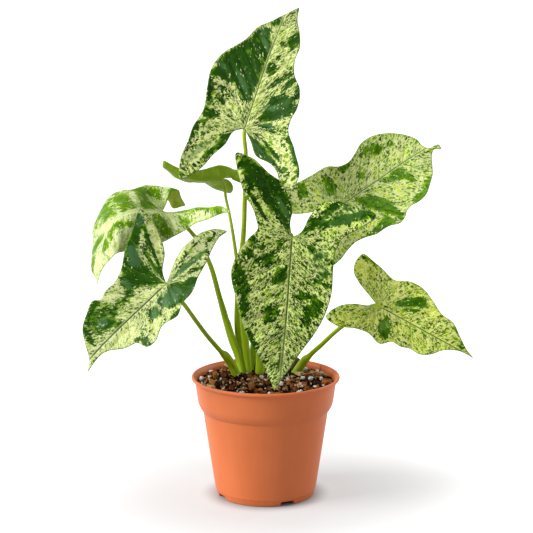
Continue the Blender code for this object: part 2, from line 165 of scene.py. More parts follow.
class Graph:
    """Node tree of a new material or world, with short calls that add a node and return its output."""

    def __init__(self, name, world=False):
        self.owner = (bpy.data.worlds if world else bpy.data.materials).new(name)
        self.owner.use_nodes = True
        self.tree = self.owner.node_tree
        self.shader = self.tree.nodes["Background" if world else "Principled BSDF"]

    def link(self, source, socket):
        if isinstance(source, Value):
            self.tree.links.new(source.socket, socket)
        else:
            socket.default_value = source

    def add(self, kind, inputs=(), out=0, **settings):
        """A new node; out names the output to return, or several in a tuple."""
        node = self.tree.nodes.new(f"ShaderNode{kind}")
        for key, value in settings.items():
            setattr(node, key, value)
        for key, value in dict(inputs).items():
            self.link(value, node.inputs[key])
        if isinstance(out, tuple):
            return [Value(self, node.outputs[key]) for key in out]
        return Value(self, node.outputs[out])

    def math(self, operation, a, b):
        return self.add("Math", {0: a, 1: b}, operation=operation)

    def larger(self, a, b):
        return self.math("MAXIMUM", a, b)

    def vector(self, operation, *inputs, **settings):
        return self.add("VectorMath", dict(enumerate(inputs)), operation=operation, **settings)

    def scaled(self, vector, scale):
        return self.vector("MULTIPLY", vector, scale)

    def point(self, *parts):
        return self.add("CombineXYZ", dict(enumerate(parts)))

    def parts(self, vector):
        return self.add("SeparateXYZ", {0: vector}, out=(0, 1, 2))

    def attribute(self, name):
        return self.add("Attribute", out=1, attribute_name=name)

    def noise(self, place, scale, detail=1.0, roughness=0.5):
        """Noise centred on zero, mostly between -1 and 1; the scale is a number or one for each axis."""
        if isinstance(scale, tuple):
            place, scale = self.scaled(place, scale), 1.0
        raw = self.add("TexNoise", {"Vector": place, "Scale": scale, "Detail": detail,
                                    "Roughness": roughness})
        return self.add("Math", {0: raw, 1: 4.0, 2: -2.0}, operation="MULTIPLY_ADD")

    def mosaic(self, place, scale, out, **settings):
        return self.add("TexVoronoi", {"Vector": self.scaled(place, scale), "Scale": 1.0}, out, **settings)

    def cells(self, place, scale):
        """Three even random values from -1 to 1 for each cell of a mosaic."""
        hues = self.mosaic(place, scale, "Color")
        return self.parts(self.vector("MULTIPLY_ADD", hues, (2, 2, 2), (-1, -1, -1)))

    def spots(self, place, scale):
        """Spots of random size, one in each cell of a mosaic: the value is above zero inside them."""
        hues, away = self.mosaic(place, scale, ("Color", "Distance"))
        return 0.6 * self.parts(hues)[0] - away

    def step(self, value, low, high):
        """Smooth step of a value from 0 at low to 1 at high."""
        return self.add("MapRange", {0: value, 1: low, 2: high}, interpolation_type="SMOOTHSTEP")

    def blend(self, factor, first, second):
        return self.add("Mix", {0: factor, 6: first, 7: second}, out=2, data_type="RGBA")

    def seen(self):
        """1 for what the camera or a reflection sees, 0 for the light that falls on the plant."""
        rays = "Is Camera Ray", "Is Glossy Ray", "Is Transmission Ray"
        camera, glossy, through = self.add("LightPath", out=rays)
        return self.larger(self.larger(camera, glossy), through)

    def bump(self, height, distance, strength):
        """Surface relief from a height; distance is in metres for a height of 1."""
        normal = self.add("Bump", {"Height": height, "Distance": distance, "Strength": strength})
        self.link(normal, self.shader.inputs["Normal"])

    def set(self, **inputs):
        for key, value in inputs.items():
            self.link(value, self.shader.inputs[key.replace("_", " ")])
        return self.owner


# Each leaf's colours in plain light: (red, green, blue) of its tones, from the palest ground to the darkest
# patch, and then of its painted gloss, its veins and its underside. The painted gloss is a painted reflection
# of the bright surroundings on the glossy skin, not a colour of the leaf.
TONES = "cream", "pale", "soft", "mid", "dark", "deep", "painted_gloss", "vein", "under"
PALETTES = {
    "a": [(232, 238, 164), (146, 176, 40), (110, 150, 10), (76, 120, 0), (46, 94, 0), (16, 54, 0),
          (92, 136, 84), (72, 108, 4), (166, 190, 100)],
    "b": [(212, 228, 126), (194, 218, 92), (176, 208, 60), (160, 196, 36), (130, 170, 12), (104, 142, 0),
          (158, 188, 92), (180, 204, 90), (164, 198, 50)],
    "c": [(218, 224, 186), (198, 212, 100), (152, 186, 30), (132, 170, 0), (98, 142, 0), (70, 114, 0),
          (190, 214, 146), (188, 208, 90), (192, 210, 56)],
    "d": [(226, 232, 170), (180, 200, 100), (144, 172, 64), (88, 130, 22), (46, 92, 0), (22, 62, 0),
          (98, 140, 94), (120, 152, 50), (166, 190, 100)],
    "e": [(244, 255, 160), (174, 214, 30), (120, 168, 4), (78, 124, 0), (44, 92, 0), (16, 54, 0),
          (92, 136, 70), (72, 108, 4), (166, 190, 100)],
    "f": [(216, 222, 154), (184, 206, 48), (144, 180, 0), (102, 146, 0), (100, 150, 0), (34, 80, 0),
          (128, 166, 84), (112, 146, 20), (160, 186, 96)],
    "g": [(230, 236, 140), (200, 216, 56), (156, 186, 4), (106, 150, 0), (72, 122, 0), (32, 78, 0),
          (128, 162, 80), (112, 146, 20), (160, 186, 96)],
}

# Noises of the leaf skin: features per mm along the side veins, across them, and a plane of their own.
BROAD, FLECK, WIGGLE = (0.07, 0.16, 1), (0.55, 0.72, 2), (0.5, 0.5, 7)
FIBRE, GRAIN, MOTTLE = (0.03, 0.2, 6), (0.9, 1.9, 3), (0.13, 0.34, 4)
# The same for mosaics and patches whose length along the veins grows with the leaf's reach.
PATCH, LARGE, SMALL = (0.3, 0.28, 10), (0.42, 0.36, 11), (0.75, 0.55, 12)
CRACK, DOT, STAR = (0.5, 0.36, 13), (0.8, 0.62, 14), (0.6, 0.7, 15)


def leaf_finish(letter, underside, speck=0.0, patchy=1.0, reach=2.0, dots=-0.15, stars=-0.22,
                rib_tint=None, rib=0.7, fine=1.0, shine=0.05):
    """Variegated leaf skin.

    "vein" holds (distance along the side veins, distance across them, seed), "marks" the (dark, cream,
    painted gloss) fields, the last of them placing painted reflections, and "form" (distance from the margin,
    from the midrib, along the blade).
    speck, dots and stars say how dark and how freckled the skin is, patchy how uneven, reach how long its
    marks are, fine how small, and rib is the half-width of the midrib's line.
    """
    g = Graph(f"{letter}_{'lower' if underside else 'upper'}")
    tint = {tone: colour(*value) for tone, value in zip(TONES, PALETTES[letter])}
    vein = g.attribute("vein")
    out, over, _ = g.parts(vein)
    dark_field, cream_field, painted_gloss_field = g.parts(g.attribute("marks"))
    edge, off_rib, along = g.parts(g.attribute("form"))
    pale_field = g.larger(cream_field, 0.0)

    place = g.scaled(vein, (fine, fine, 1))
    broad, fleck, wiggle = g.noise(place, BROAD), g.noise(place, FLECK), g.noise(place, WIGGLE)
    fibre, grain = g.noise(place, FIBRE), g.noise(place, GRAIN)
    mottle = g.noise(place, MOTTLE, 3.0, 0.65)
    bent = g.vector("ADD", place, g.point(1.2 * fleck, 1.1 * wiggle))

    def long(scale):
        return scale[0] / reach, scale[1], scale[2]

    patch = g.noise(place, long(PATCH))
    large, small = g.cells(bent, long(LARGE)), g.cells(bent, long(SMALL))
    crack = g.mosaic(bent, long(CRACK), 0, feature="DISTANCE_TO_EDGE")

    # Independent layers with crisp edges, the palest tissue at the bottom and the darkest on top.
    shade = 0.6 * dark_field - 0.2 * cream_field + 0.25 * broad + (speck + 0.27)
    soft = shade + 0.5 * large[1] + 0.3 * small[1]
    skin = g.blend(g.step(soft, -0.05, 0.05), tint["pale"], tint["soft"])
    mid = shade + 0.45 * large[2] + 0.35 * small[2] + 0.25 * mottle
    skin = g.blend(g.step(mid, 0.1, 0.18), skin, tint["mid"])
    uneven = 0.25 * broad + 0.55 * patch + 0.5 * large[0] + 0.45 * small[0] + 0.35 * fleck
    dark = g.step(dark_field - 0.9 * pale_field + speck + patchy * uneven, -0.03, 0.05)
    depth = g.larger(g.step(0.5 * fibre + 0.5 * mottle, -1.3, 1.3), g.step(dark_field, 0.2, -0.1))
    skin = g.blend(dark, skin, g.blend(depth, tint["dark"], tint["deep"]))
    thread = g.step(crack + 0.08 * fleck + 0.08 * mottle, 0.15, 0.09)
    open_skin = g.step(dark_field + shade + 0.6 * patch, 0.5, 0.0)
    skin = g.blend(0.8 * thread * open_skin, skin, tint["cream"])
    dot = g.spots(bent, long(DOT)) + 0.08 * broad + 0.15 * shade + dots
    skin = g.blend(0.9 * g.step(dot, 0.0, 0.06), skin, tint["deep"])
    star = g.spots(bent, long(STAR)) + 0.16 * patch + 0.15 * pale_field - 0.08 * dark_field + stars
    skin = g.blend(0.9 * g.step(star, 0.0, 0.06), skin, tint["cream"])
    # Painted gloss: patches of painted reflection where the glossy skin would mirror its bright surroundings.
    painted_gloss = g.step(painted_gloss_field + 0.6 * mottle + 0.3 * fleck, 0.0, 0.35)
    skin = g.blend(0.4 * painted_gloss, skin, tint["painted_gloss"])

    # Hair veins, side veins and the midrib.
    rib_colour = colour(*rib_tint) if rib_tint else tint["vein"]
    hair_gap, side_gap = (g.add("Math", {0: over, 1: VEIN_SPACING / n}, operation="PINGPONG") for n in (8, 2))
    hair = g.step(0.1 * grain - hair_gap, -0.26, -0.02)
    side_line = g.step(side_gap + 0.08 * grain, 0.5, 0.1)
    skin = g.blend(g.larger(0.1 * hair, 0.28 * side_line), skin, tint["vein"])
    root = g.step(out + 4.0 * patch, 17.0, 3.0) * g.step(side_gap, 0.55, 0.15)
    skin = g.blend(0.75 * root, skin, rib_colour)
    skin = g.blend(0.4 * g.step(off_rib + 0.4 * fleck, rib + 1.3, rib), skin, tint["cream"])
    # The midrib's darker line is partly its own colour and partly painted shade of the groove that it lies
    # in.
    spine = g.step(off_rib, rib, 0.5 * rib)
    skin = g.blend(spine * (0.5 * g.step(along, 130, 60) + 0.4), skin, rib_colour)
    skin = g.blend(0.6 * g.step(edge + 0.3 * fleck, 1.0, 0.2), skin, tint["mid"])
    if underside:
        skin = g.blend(g.step(fibre, -4.0, 1.8), skin, tint["under"])
        skin = g.blend(0.35 * g.step(fibre + 0.5 * mottle, -0.5, 0.7), skin, tint["dark"])
    g.bump(0.12 * grain - 0.12 * hair - 0.25 * side_line + 0.1 * fleck, 0.0006, 0.5)
    return g.set(Base_Color=skin, Specular_IOR_Level=shine, Roughness=0.05 * mottle - 0.05 * dark + 0.4)


# ---------------------------------------------------------------- leaf sheet


def fold(points, side, crease, start, width, angle, sinus):
    """Bends a sheet softly about a crease.

    Points are (across, along, height) with the stalk's joint at zero and the blade's tip along +along.
    The crease leaves the midrib at `crease` degrees from the across axis. A "left" or "right" fold turns the
    part of that half which lies outwards and behind the crease, and a "tip" fold turns what lies ahead of it.
    The turn starts at `start` from the joint and is spread over `width`; a positive angle lifts the part
    towards the upper face. `sinus` leans the line that parts the two lobes.
    """
    across, along, height = points.T
    turn = math.radians(crease)
    if side == "tip":
        normal = (-math.sin(turn), math.cos(turn))
        part = np.ones(len(points), bool)
    else:
        hand = 1 if side == "right" else -1
        normal = (hand * math.sin(turn), -math.cos(turn))
        parting = np.where(along < 0, -along * math.tan(math.radians(sinus)), 0)
        part = (across - parting) * hand >= 0
    reach = across * normal[0] + along * normal[1] - start
    part &= reach > 0
    reach = np.where(part, reach, 0)
    rate = math.radians(angle) / width
    swing = np.minimum(reach, width) * rate
    beyond = np.maximum(reach - width, 0)
    out = np.sin(swing) / rate + beyond * np.cos(swing) - height * np.sin(swing)
    rise = (1 - np.cos(swing)) / rate + beyond * np.sin(swing) + height * np.cos(swing)
    shift = np.where(part, out - reach, 0)
    return np.column_stack([across + shift * normal[0], along + shift * normal[1],
                            np.where(part, rise, height)])


def blade_axes(heading, climb, roll):
    """Unit vectors across, along and out of the upper face, from the midrib's heading, climb and roll."""
    heading, climb, roll = (math.radians(a) for a in (heading, climb, roll))
    along = np.array([math.cos(climb) * math.cos(heading), math.cos(climb) * math.sin(heading),
                      math.sin(climb)])
    level = np.array([0, 0, 1]) - along * along[2]
    level /= np.linalg.norm(level)
    face = level * math.cos(roll) + np.cross(along, level) * math.sin(roll)
    return np.cross(along, face), along, face


def shaped(flat, leaf):
    """The flat points of a blade, folded and set in place."""
    points = np.column_stack([flat, np.zeros(len(flat))])
    for step in leaf["folds"]:
        points = fold(points, *step, leaf.get("sinus", 0))
    return np.array(leaf["joint"]) + points @ np.array(blade_axes(*leaf["pose"]))


def run_lengths(points):
    """Distance along a line of points to each of them."""
    return np.concatenate([[0], np.cumsum(np.linalg.norm(np.diff(points, axis=0), axis=1))])


def smooth_line(points, spacing):
    """A smooth curve through points, resampled at about the spacing, both ends included."""
    points = np.array(points, float)
    at = run_lengths(points)
    slopes = np.gradient(points, at, axis=0)
    samples = np.linspace(0, at[-1], max(2, round(at[-1] / spacing)) + 1)
    k = np.clip(np.searchsorted(at, samples, side="right") - 1, 0, len(at) - 2)
    length = (at[k + 1] - at[k])[:, None]
    t = ((samples - at[k])[:, None]) / length
    return ((2 * t**3 - 3 * t**2 + 1) * points[k] + (t**3 - 2 * t**2 + t) * length * slopes[k]
            + (3 * t**2 - 2 * t**3) * points[k + 1] + (t**3 - t**2) * length * slopes[k + 1])


def inside(spots, outline):
    """Which flat points lie inside an outline."""
    ends = np.roll(outline, -1, axis=0)
    hits = np.zeros(len(spots), int)
    for (x0, y0), (x1, y1) in zip(outline, ends):
        if y0 != y1:
            rises = (y0 > spots[:, 1]) != (y1 > spots[:, 1])
            hits += rises & (spots[:, 0] < x0 + (spots[:, 1] - y0) * (x1 - x0) / (y1 - y0))
    return hits % 2 == 1


# ---------------------------------------------------------------- leaf blades

SHEET = 0.5                  # thickness of a blade
RIM_SHARE = 0.35             # and the share of it left at the margin
GROOVE, RIDGE = 0.55, 1.1    # how deep the midrib lies above, and how far it stands out below
OUTLINE_STEP = 1.0           # spacing of a blade's points on its margin
GRID_STEP = 1.05             # and inside it
FAN = 25.0                   # radius at which the lobes' fanned veins have the blade's spacing
LEAN = 55                    # usual angle between the side veins and the midrib
NO_RIB = 99                  # distance from the midrib that is noted where there is none, behind the joint
SIDE_SEED = 37.0             # what sets the noises of a blade's two halves apart


def blade_outline(leaf):
    """The flat outline, anticlockwise: tip, left margin, left lobe, joint, right lobe, right margin."""
    tip, joint = leaf["tip"], (0, 0)
    left = smooth_line([tip, *leaf["left"], joint], OUTLINE_STEP)
    right = smooth_line([joint, *leaf["right"], tip], OUTLINE_STEP)
    return np.concatenate([left[:-1], right[:-1]])


def edge_distance(spots, outline, batch=64):
    """Distance from each flat point to the outline."""
    runs = np.roll(outline, -1, axis=0) - outline
    lengths = np.maximum((runs**2).sum(axis=1), 1e-12)
    nearest = np.full(len(spots), 1e9)
    for first in range(0, len(outline), batch):
        s, r, n = (a[first:first + batch] for a in (outline, runs, lengths))
        gap = spots[:, None] - s[None]
        t = np.clip((gap * r[None]).sum(axis=2) / n[None], 0, 1)
        away = np.linalg.norm(gap - t[..., None] * r[None], axis=2).min(axis=1)
        nearest = np.minimum(nearest, away)
    return nearest


def inner_grid(outline, spacing):
    """A triangular grid of points inside an outline, kept clear of its edge."""
    low, high = outline.min(axis=0), outline.max(axis=0)
    row_step = spacing * math.sqrt(3) / 2
    row, column = np.mgrid[:int((high[1] - low[1]) / row_step) + 1, :int((high[0] - low[0]) / spacing) + 2]
    shift = row % 2 * (spacing / 2)
    grid = np.stack([low[0] + column * spacing + shift, low[1] + row * row_step], 2).reshape(-1, 2)
    grid = grid[inside(grid, outline)]
    return grid[edge_distance(grid, outline) > 0.45 * spacing]


def vein_place(flat, leaf):
    """Distances along and across the side veins, which rise from the midrib and fan out into the lobes."""
    across, along = np.abs(flat[:, 0]), flat[:, 1]
    lean = math.radians(leaf.get("lean", LEAN))
    angle = np.arctan2(across, along)
    ahead = angle <= lean
    over = np.where(ahead, along - across / math.tan(lean), (lean - angle) * FAN)
    out = np.where(ahead, across / math.sin(lean), np.hypot(across, along))
    return out, over


def patch_field(flat, patches):
    """Strength of solid patches: (strength, outline) pairs, positive inside each and falling off outside."""
    best = np.full(len(flat), -1.0)
    for strength, points in patches:
        outline = smooth_line([*points, points[0]], 2.0)[:-1]
        away = edge_distance(flat, outline)
        within = np.minimum(away / 3, 1) * strength
        best = np.maximum(best, np.where(inside(flat, outline), within, -away / 4.5))
    return best


def spot_field(flat, spots):
    """Strength of a marking: above zero inside its ellipses, falling off outside.

    Each is (across, along, half-length, half-width, angle), with a strength last if that isn't 1.
    """
    best = np.full(len(flat), -1.0)
    for across, along, length, width, angle, *strength in spots:
        turn = math.radians(angle)
        x, y = flat[:, 0] - across, flat[:, 1] - along
        far = np.hypot((x * math.cos(turn) + y * math.sin(turn)) / length,
                       (y * math.cos(turn) - x * math.sin(turn)) / width)
        best = np.maximum(best, (1 - far) * math.sqrt(length * width) / 4 * (strength[0] if strength else 1))
    return np.clip(best, -1, 1)


def relief(flat, edge, leaf, seed):
    """Height of the upper face over the smooth sheet: midrib groove, puffed skin, wavy margin."""
    across, along = flat.T
    out, over = vein_place(flat, leaf)
    puff = np.sqrt(np.sin(math.pi * (over / VEIN_SPACING + np.sign(across) * 0.5)) ** 2 + 0.02) - 0.6
    inner, outer = ease(out, 1, 9), ease(edge, 0, 7)
    groove = np.exp(-(across / 1.3) ** 2) * ease(along, -1, 4) * ease(leaf["tip"][1] - along, 0, 40)
    height = 0.8 * puff * inner * outer - GROOVE * groove
    height += 0.9 * lattice_noise(flat, 16, seed) * inner
    height += 0.25 * lattice_noise(flat, 6, seed + 1) * inner
    height += 0.8 * lattice_noise(flat, 11, seed + 2) * ease(edge, 9, 0)
    return height


def blade_mesh(leaf):
    """Outline, flat points and triangles of a blade, with an unbroken line of edges on the midrib."""
    outline = blade_outline(leaf)
    rib_end = leaf["tip"][1] - 2 * GRID_STEP
    spine = np.array([(0.0, v) for v in np.arange(GRID_STEP, rib_end, GRID_STEP)])
    grid = inner_grid(outline, GRID_STEP)
    grid = grid[(np.abs(grid[:, 0]) > 0.55 * GRID_STEP) | (grid[:, 1] < 0) | (grid[:, 1] > rib_end)]
    flat = np.concatenate([outline, spine, grid])
    joint = int(np.argmin(np.linalg.norm(outline, axis=1)))
    line = [joint, *range(len(outline), len(outline) + len(spine))]
    loop = list(range(len(outline)))
    cells = delaunay_2d_cdt([Vector(p) for p in flat], list(zip(line, line[1:])), [loop], 1, 1e-5)
    return outline, np.array([tuple(p) for p in cells[0]]), np.array([tuple(t) for t in cells[2]])


def sheet_normals(points, triangles):
    a, b, c = (points[triangles[:, k]] for k in range(3))
    face = np.cross(b - a, c - a)
    normals = np.zeros_like(points)
    for k in range(3):
        np.add.at(normals, triangles[:, k], face)
    return normals / np.maximum(np.linalg.norm(normals, axis=1), 1e-12)[:, None]


def make_blade(letter, leaf):
    seed = 100 + 10 * ord(letter)
    outline, flat, triangles = blade_mesh(leaf)
    across, along = flat.T
    edge = edge_distance(flat, outline)
    sheet = shaped(flat, leaf)
    sheet += sheet_normals(sheet, triangles) * relief(flat, edge, leaf, seed)[:, None]
    out = sheet_normals(sheet, triangles)
    ridge = np.exp(-(across / 1.2) ** 2) * ease(along, -3, 1) * np.clip(1 - along / leaf["tip"][1], 0, 1)
    half = SHEET / 2 * (RIM_SHARE + (1 - RIM_SHARE) * ease(edge, 0, 1.5))
    upper = sheet + out * half[:, None]
    lower = sheet - out * (half + RIDGE * ridge)[:, None]
    count = len(flat)
    directed = np.concatenate([triangles[:, [0, 1]], triangles[:, [1, 2]], triangles[:, [2, 0]]]).tolist()
    known = {tuple(e) for e in directed}
    a, b = np.array([e for e in directed if (e[1], e[0]) not in known]).T
    walls = np.concatenate([np.stack([b, a, a + count], 1), np.stack([b, a + count, b + count], 1)])
    faces = np.concatenate([triangles, triangles[:, ::-1] + count, walls])
    piece = add_piece(f"leaf_{letter}", np.concatenate([upper, lower]), faces.tolist(),
                      LEAF_FINISHES[letter], outward=False)
    under = np.zeros(len(faces), np.int32)
    under[len(triangles):2 * len(triangles)] = 1
    piece.data.polygons.foreach_set("material_index", under)

    corners = faces.ravel() % count
    hand = np.repeat(np.sign(flat[faces % count][:, :, 0].mean(axis=1)), 3)
    along_vein, over = vein_place(flat, leaf)
    over_line = over[corners] + hand * VEIN_SPACING / 2
    vein = np.stack([along_vein[corners], over_line, seed + SIDE_SEED * hand], 1)
    write_attribute(piece.data, "vein", vein, "CORNER")
    # The painted gloss ellipses place painted reflections, not colours of the skin.
    dark, cream, painted_gloss = (spot_field(flat, leaf.get(kind, ())) for kind in ("dark", "cream", "painted_gloss"))
    dark = np.maximum(dark, patch_field(flat, leaf.get("patches", ())))
    dark = np.maximum(dark, leaf["floor"]) - 0.4 * np.maximum(cream, 0)
    off_rib = np.where(along > 0, np.abs(across), NO_RIB)
    for name, values in (("marks", (dark, cream, painted_gloss)), ("form", (edge, off_rib, along))):
        write_attribute(piece.data, name, np.tile(np.stack(values, 1), (2, 1)), "POINT")
    settle(piece, leaf["slot"], f"blade_{letter}")


# Each blade: material slot, joint (mm), pose (heading, climb, roll in degrees), folds, and its flat outline
# from the tip down the left margin and lobe, and from the joint along the right lobe and up its margin.
LEAVES = {
    "a": dict(
        slot="leaf_variegated", joint=(-17, 30, 294.7), pose=(57, 57, 24), lean=40, tip=(9, 121),
        folds=[("left", -35, 26, 30, -25), ("right", -35, 22, 30, -20), ("left", 90, 4, 26, 14),
               ("right", 90, 4, 26, 14), ("tip", 0, 50, 60, -18)],
        left=[(-7, 102), (-17, 90), (-23.5, 74), (-29.5, 65.5), (-35, 59), (-40, 48), (-41.2, 38),
              (-39.5, 25), (-36.5, 5), (-40, -12), (-40, -24), (-41, -40), (-36, -56), (-24, -44),
              (-17, -28), (-11, -17), (-7, -4)],
        right=[(8, -9), (16, -20), (31, -25), (38, -31), (47, -44), (54, -44), (57, -34), (46, -9), (35, 9),
               (35, 17), (37, 26), (34, 43), (25, 56), (22, 67), (22, 80), (18, 93), (11, 109)]),
    "b": dict(
        slot="leaf_plain_green", joint=(-36.6, 54, 250.2), pose=(214, 3, 33), tip=(-3.6, 56.6),
        folds=[("right", 44, 2, 12, -41), ("left", 25, 2, 14, 40), ("left", 90, 1, 14, 60),
               ("right", 90, 1, 14, 40), ("tip", 0, 16, 24, 36)],
        left=[(-4, 53), (-4.2, 46), (-6, 39), (-9, 31), (-11, 24), (-13.5, 15), (-15, 6), (-13.5, -2),
              (-9.5, -11), (-5, -18), (0, -20), (0, -9)],
        right=[(3, -11), (8, -16.5), (15.4, -19), (18, -14), (20.4, -4), (21, 2), (18.5, 10), (19, 18),
               (21, 26), (23, 33), (20, 42), (12, 49), (3, 54)]),
    "c": dict(
        slot="leaf_pale_speckled", joint=(-83.2, 32, 227.4), pose=(227, 8, -34), tip=(3.5, 108),
        folds=[("left", 27, 2, 22, 90), ("left", 60, 20, 26, 30), ("right", 42, 21, 11, -115),
               ("right", 11, 3, 14, 60), ("left", 90, 1, 30, -60), ("tip", -39, 19, 35, -85),
               ("tip", -21, 45, 31, -34)],
        left=[(-5, 100), (-11, 93), (-20, 86), (-26, 76), (-32, 61), (-35, 44), (-33, 28), (-28, 9),
              (-24, -1), (-22, -14), (-32, -35), (-37, -46), (-44, -57), (-35, -48), (-28, -38), (-12, -21),
              (-3, -11)],
        right=[(6, -7), (12, -14), (14, -21), (22, -32), (30, -42), (34, -39), (33, -28), (32, -18),
               (33, -10), (31, 2), (30, 10), (35, 20), (42, 30), (47, 41), (45, 53), (33, 69), (27, 84),
               (22, 94), (13, 102)]),
    "d": dict(
        slot="leaf_variegated", joint=(-77.1, -46, 183.7), pose=(207, -38, -46), sinus=22, tip=(-6, 92),
        folds=[("left", 0, 14, 30, -18), ("right", -10, 6, 24, -20), ("left", 90, 3, 24, 24),
               ("right", 90, 3, 24, 14), ("tip", 0, 45, 60, -20)],
        left=[(-5, 73), (-15, 59), (-20, 50), (-29, 47), (-31, 41), (-25, 27), (-28, 14), (-22, 3),
              (-21, -9), (-15, -20), (-9, -35), (-3, -48), (1, -60), (1, -68), (8, -63), (13, -52),
              (13, -38), (11, -24), (6, -12)],
        right=[(9, -5), (19, -17), (31, -24), (42, -28), (57, -28), (50, -12), (42, 4), (32, 19), (29, 29),
               (29, 38), (27, 45), (30, 49), (26, 61), (21, 70), (10, 78), (-1, 85)]),
    "e": dict(
        slot="leaf_variegated", joint=(20.6, -30, 217.5), pose=(262, -60, -18), tip=(3, 123),
        folds=[("left", 0, 14, 30, -20), ("right", -20, 20, 40, -14), ("left", 90, 4, 30, 10),
               ("right", 90, 4, 30, 10), ("tip", 0, 45, 90, -20)],
        left=[(-1, 114), (-6, 106), (-14, 91), (-23, 76), (-29, 63), (-34, 42), (-34, 22), (-35, 8),
              (-40, -3), (-54, -13), (-65, -24), (-57, -30), (-44, -32), (-33, -35), (-22, -31), (-13, -19),
              (-6, -4)],
        right=[(2, -12), (1, -22), (5, -34), (12, -45), (24, -52), (38, -61), (50, -62), (48, -49),
               (41, -29), (30, -11), (28, -3), (35, 7), (42, 19), (47, 35), (43, 51), (34, 75), (24, 92),
               (13, 106), (7, 116)]),
    "f": dict(
        slot="leaf_pale_speckled", joint=(57.4, 42, 227.4), pose=(353, 36, 56), tip=(7.5, 99),
        folds=[("right", 40, 6, 14, -50), ("left", 90, 4, 30, 10), ("right", 90, 4, 26, 10),
               ("tip", 0, 60, 40, -15)],
        left=[(2.5, 98.5), (1.5, 95), (1.5, 91.5), (-4, 87), (-11, 86), (-17, 82.5), (-24, 76), (-31, 66),
              (-35.5, 55), (-35.5, 45), (-31.5, 37), (-28.5, 29), (-30, 20), (-35.5, 12), (-38, -5),
              (-40, -18), (-50, -34), (-50, -45), (-38, -46), (-24, -38), (-13, -24), (-6, -9)],
        right=[(8, -12), (17, -27), (24, -40), (30, -42), (32, -33), (32, -18), (32.5, -6), (36.5, 7.5),
               (42, 20), (44, 32), (47.5, 42), (45, 47), (41, 50), (39, 55), (40, 62), (38, 70), (32, 77),
               (25, 82), (16, 86), (7.5, 90), (4.6, 93)]),
    "g": dict(
        slot="leaf_pale_speckled", joint=(88.2, -18, 160.5), pose=(338, -24, 68), tip=(0, 88),
        folds=[("left", 90, 3, 24, 10), ("right", 90, 3, 24, 10), ("tip", 0, 50, 40, -15)],
        left=[(-3, 80), (-9, 71), (-17, 59), (-18, 50), (-24, 38), (-29, 26), (-29, 15), (-24, 2),
              (-27, -9), (-29, -18), (-30, -30), (-23, -32), (-15, -30), (-9, -22), (-4, -10)],
        right=[(4, -7), (8, -17), (15, -26), (28, -31), (30, -20), (24, -3), (23, 5), (26, 18), (20, 25),
               (20, 33), (18, 40), (18, 50), (14, 57), (7, 63), (1, 74)]),
}

# Each stalk: its route (mm) from the mix, and its girth as (share of the route, radius).
STALKS = {
    "a": ([(-18, 24.5, 97), (-19.4, 26, 104.6), (-22.8, 31, 128.6), (-23, 34, 149), (-20.6, 34.5, 184.8),
           (-18.4, 33, 203.3), (-16.9, 31, 236.6), (-16, 30, 275)], [(0, 2.9), (0.22, 2.7), (0.3, 2.4),
           (0.6, 2), (1, 1.6)]),
    "b": ([(-14.6, 14.5, 97), (-15.3, 16, 107), (-17.8, 20, 131), (-21.8, 28, 171), (-25.9, 36, 203),
           (-32.3, 50, 233.5)], [(0, 2.8), (0.15, 2.8), (0.3, 2.3), (0.4, 1.6), (1, 1.1)]),
    "c": ([(-19.6, 11.5, 97), (-21.7, 16, 107), (-27.6, 22, 122.5), (-37.1, 31, 154), (-46.8, 34, 186.5),
           (-56.7, 34, 204.8), (-72, 33.5, 220)], [(0, 2.8), (0.2, 2.9), (0.36, 2.6), (0.42, 2.2),
           (0.8, 1.7), (1, 1.4)]),
    "d": ([(-23.2, 3.5, 97), (-27.4, 1, 106), (-31.8, -2.5, 114), (-36.9, -7.5, 121.2), (-46.9, -18, 136),
           (-55.4, -28, 150.6), (-64.6, -37, 166.3)], [(0, 3.1), (0.2, 3), (0.26, 1.9), (1, 1.6)]),
    "e": ([(-4.8, 11, 97), (-4, 13, 112), (0, 10, 150), (9, -3, 188)], [(0, 3.3), (0.3, 2.7), (1, 1.6)]),
    "f": ([(-10.2, 25, 97), (-9.4, 28, 119), (2, 33, 160), (22, 40, 186), (42, 47, 208)], [(0, 2.6),
           (0.4, 2.2), (1, 1.6)]),
    "g": ([(23.9, 12.3, 97), (28.3, 10.5, 102.6), (32.9, 8, 109.7), (45.4, 0, 124.2), (60.2, -9, 140.3),
           (71, -13.5, 149)], [(0, 2.9), (0.17, 2.8), (0.24, 2), (1, 1.4)]),
}

# Each leaf's finish, where it differs from the usual.
FINISHES = {
    "a": dict(reach=2.4, dots=-0.09, stars=-0.18, shine=0.09),
    "b": dict(speck=0.1, patchy=0.5, dots=-0.6, stars=-0.6),
    "c": dict(speck=-0.05, reach=1.8, dots=-0.14, stars=-0.16, fine=1.2),
    "d": dict(patchy=1.2, dots=-0.12, rib_tint=(44, 80, 10), rib=0.9, shine=0.09),
    "e": dict(speck=0.06, patchy=1.35, reach=1.8, dots=-0.08, rib_tint=(50, 88, 16), rib=0.9),
    "f": dict(speck=0.03, patchy=1.4, reach=1.8, dots=-0.14, rib_tint=(70, 112, 6)),
    "g": dict(patchy=1.25, reach=1.6, dots=-0.08, rib_tint=(74, 112, 0)),
}
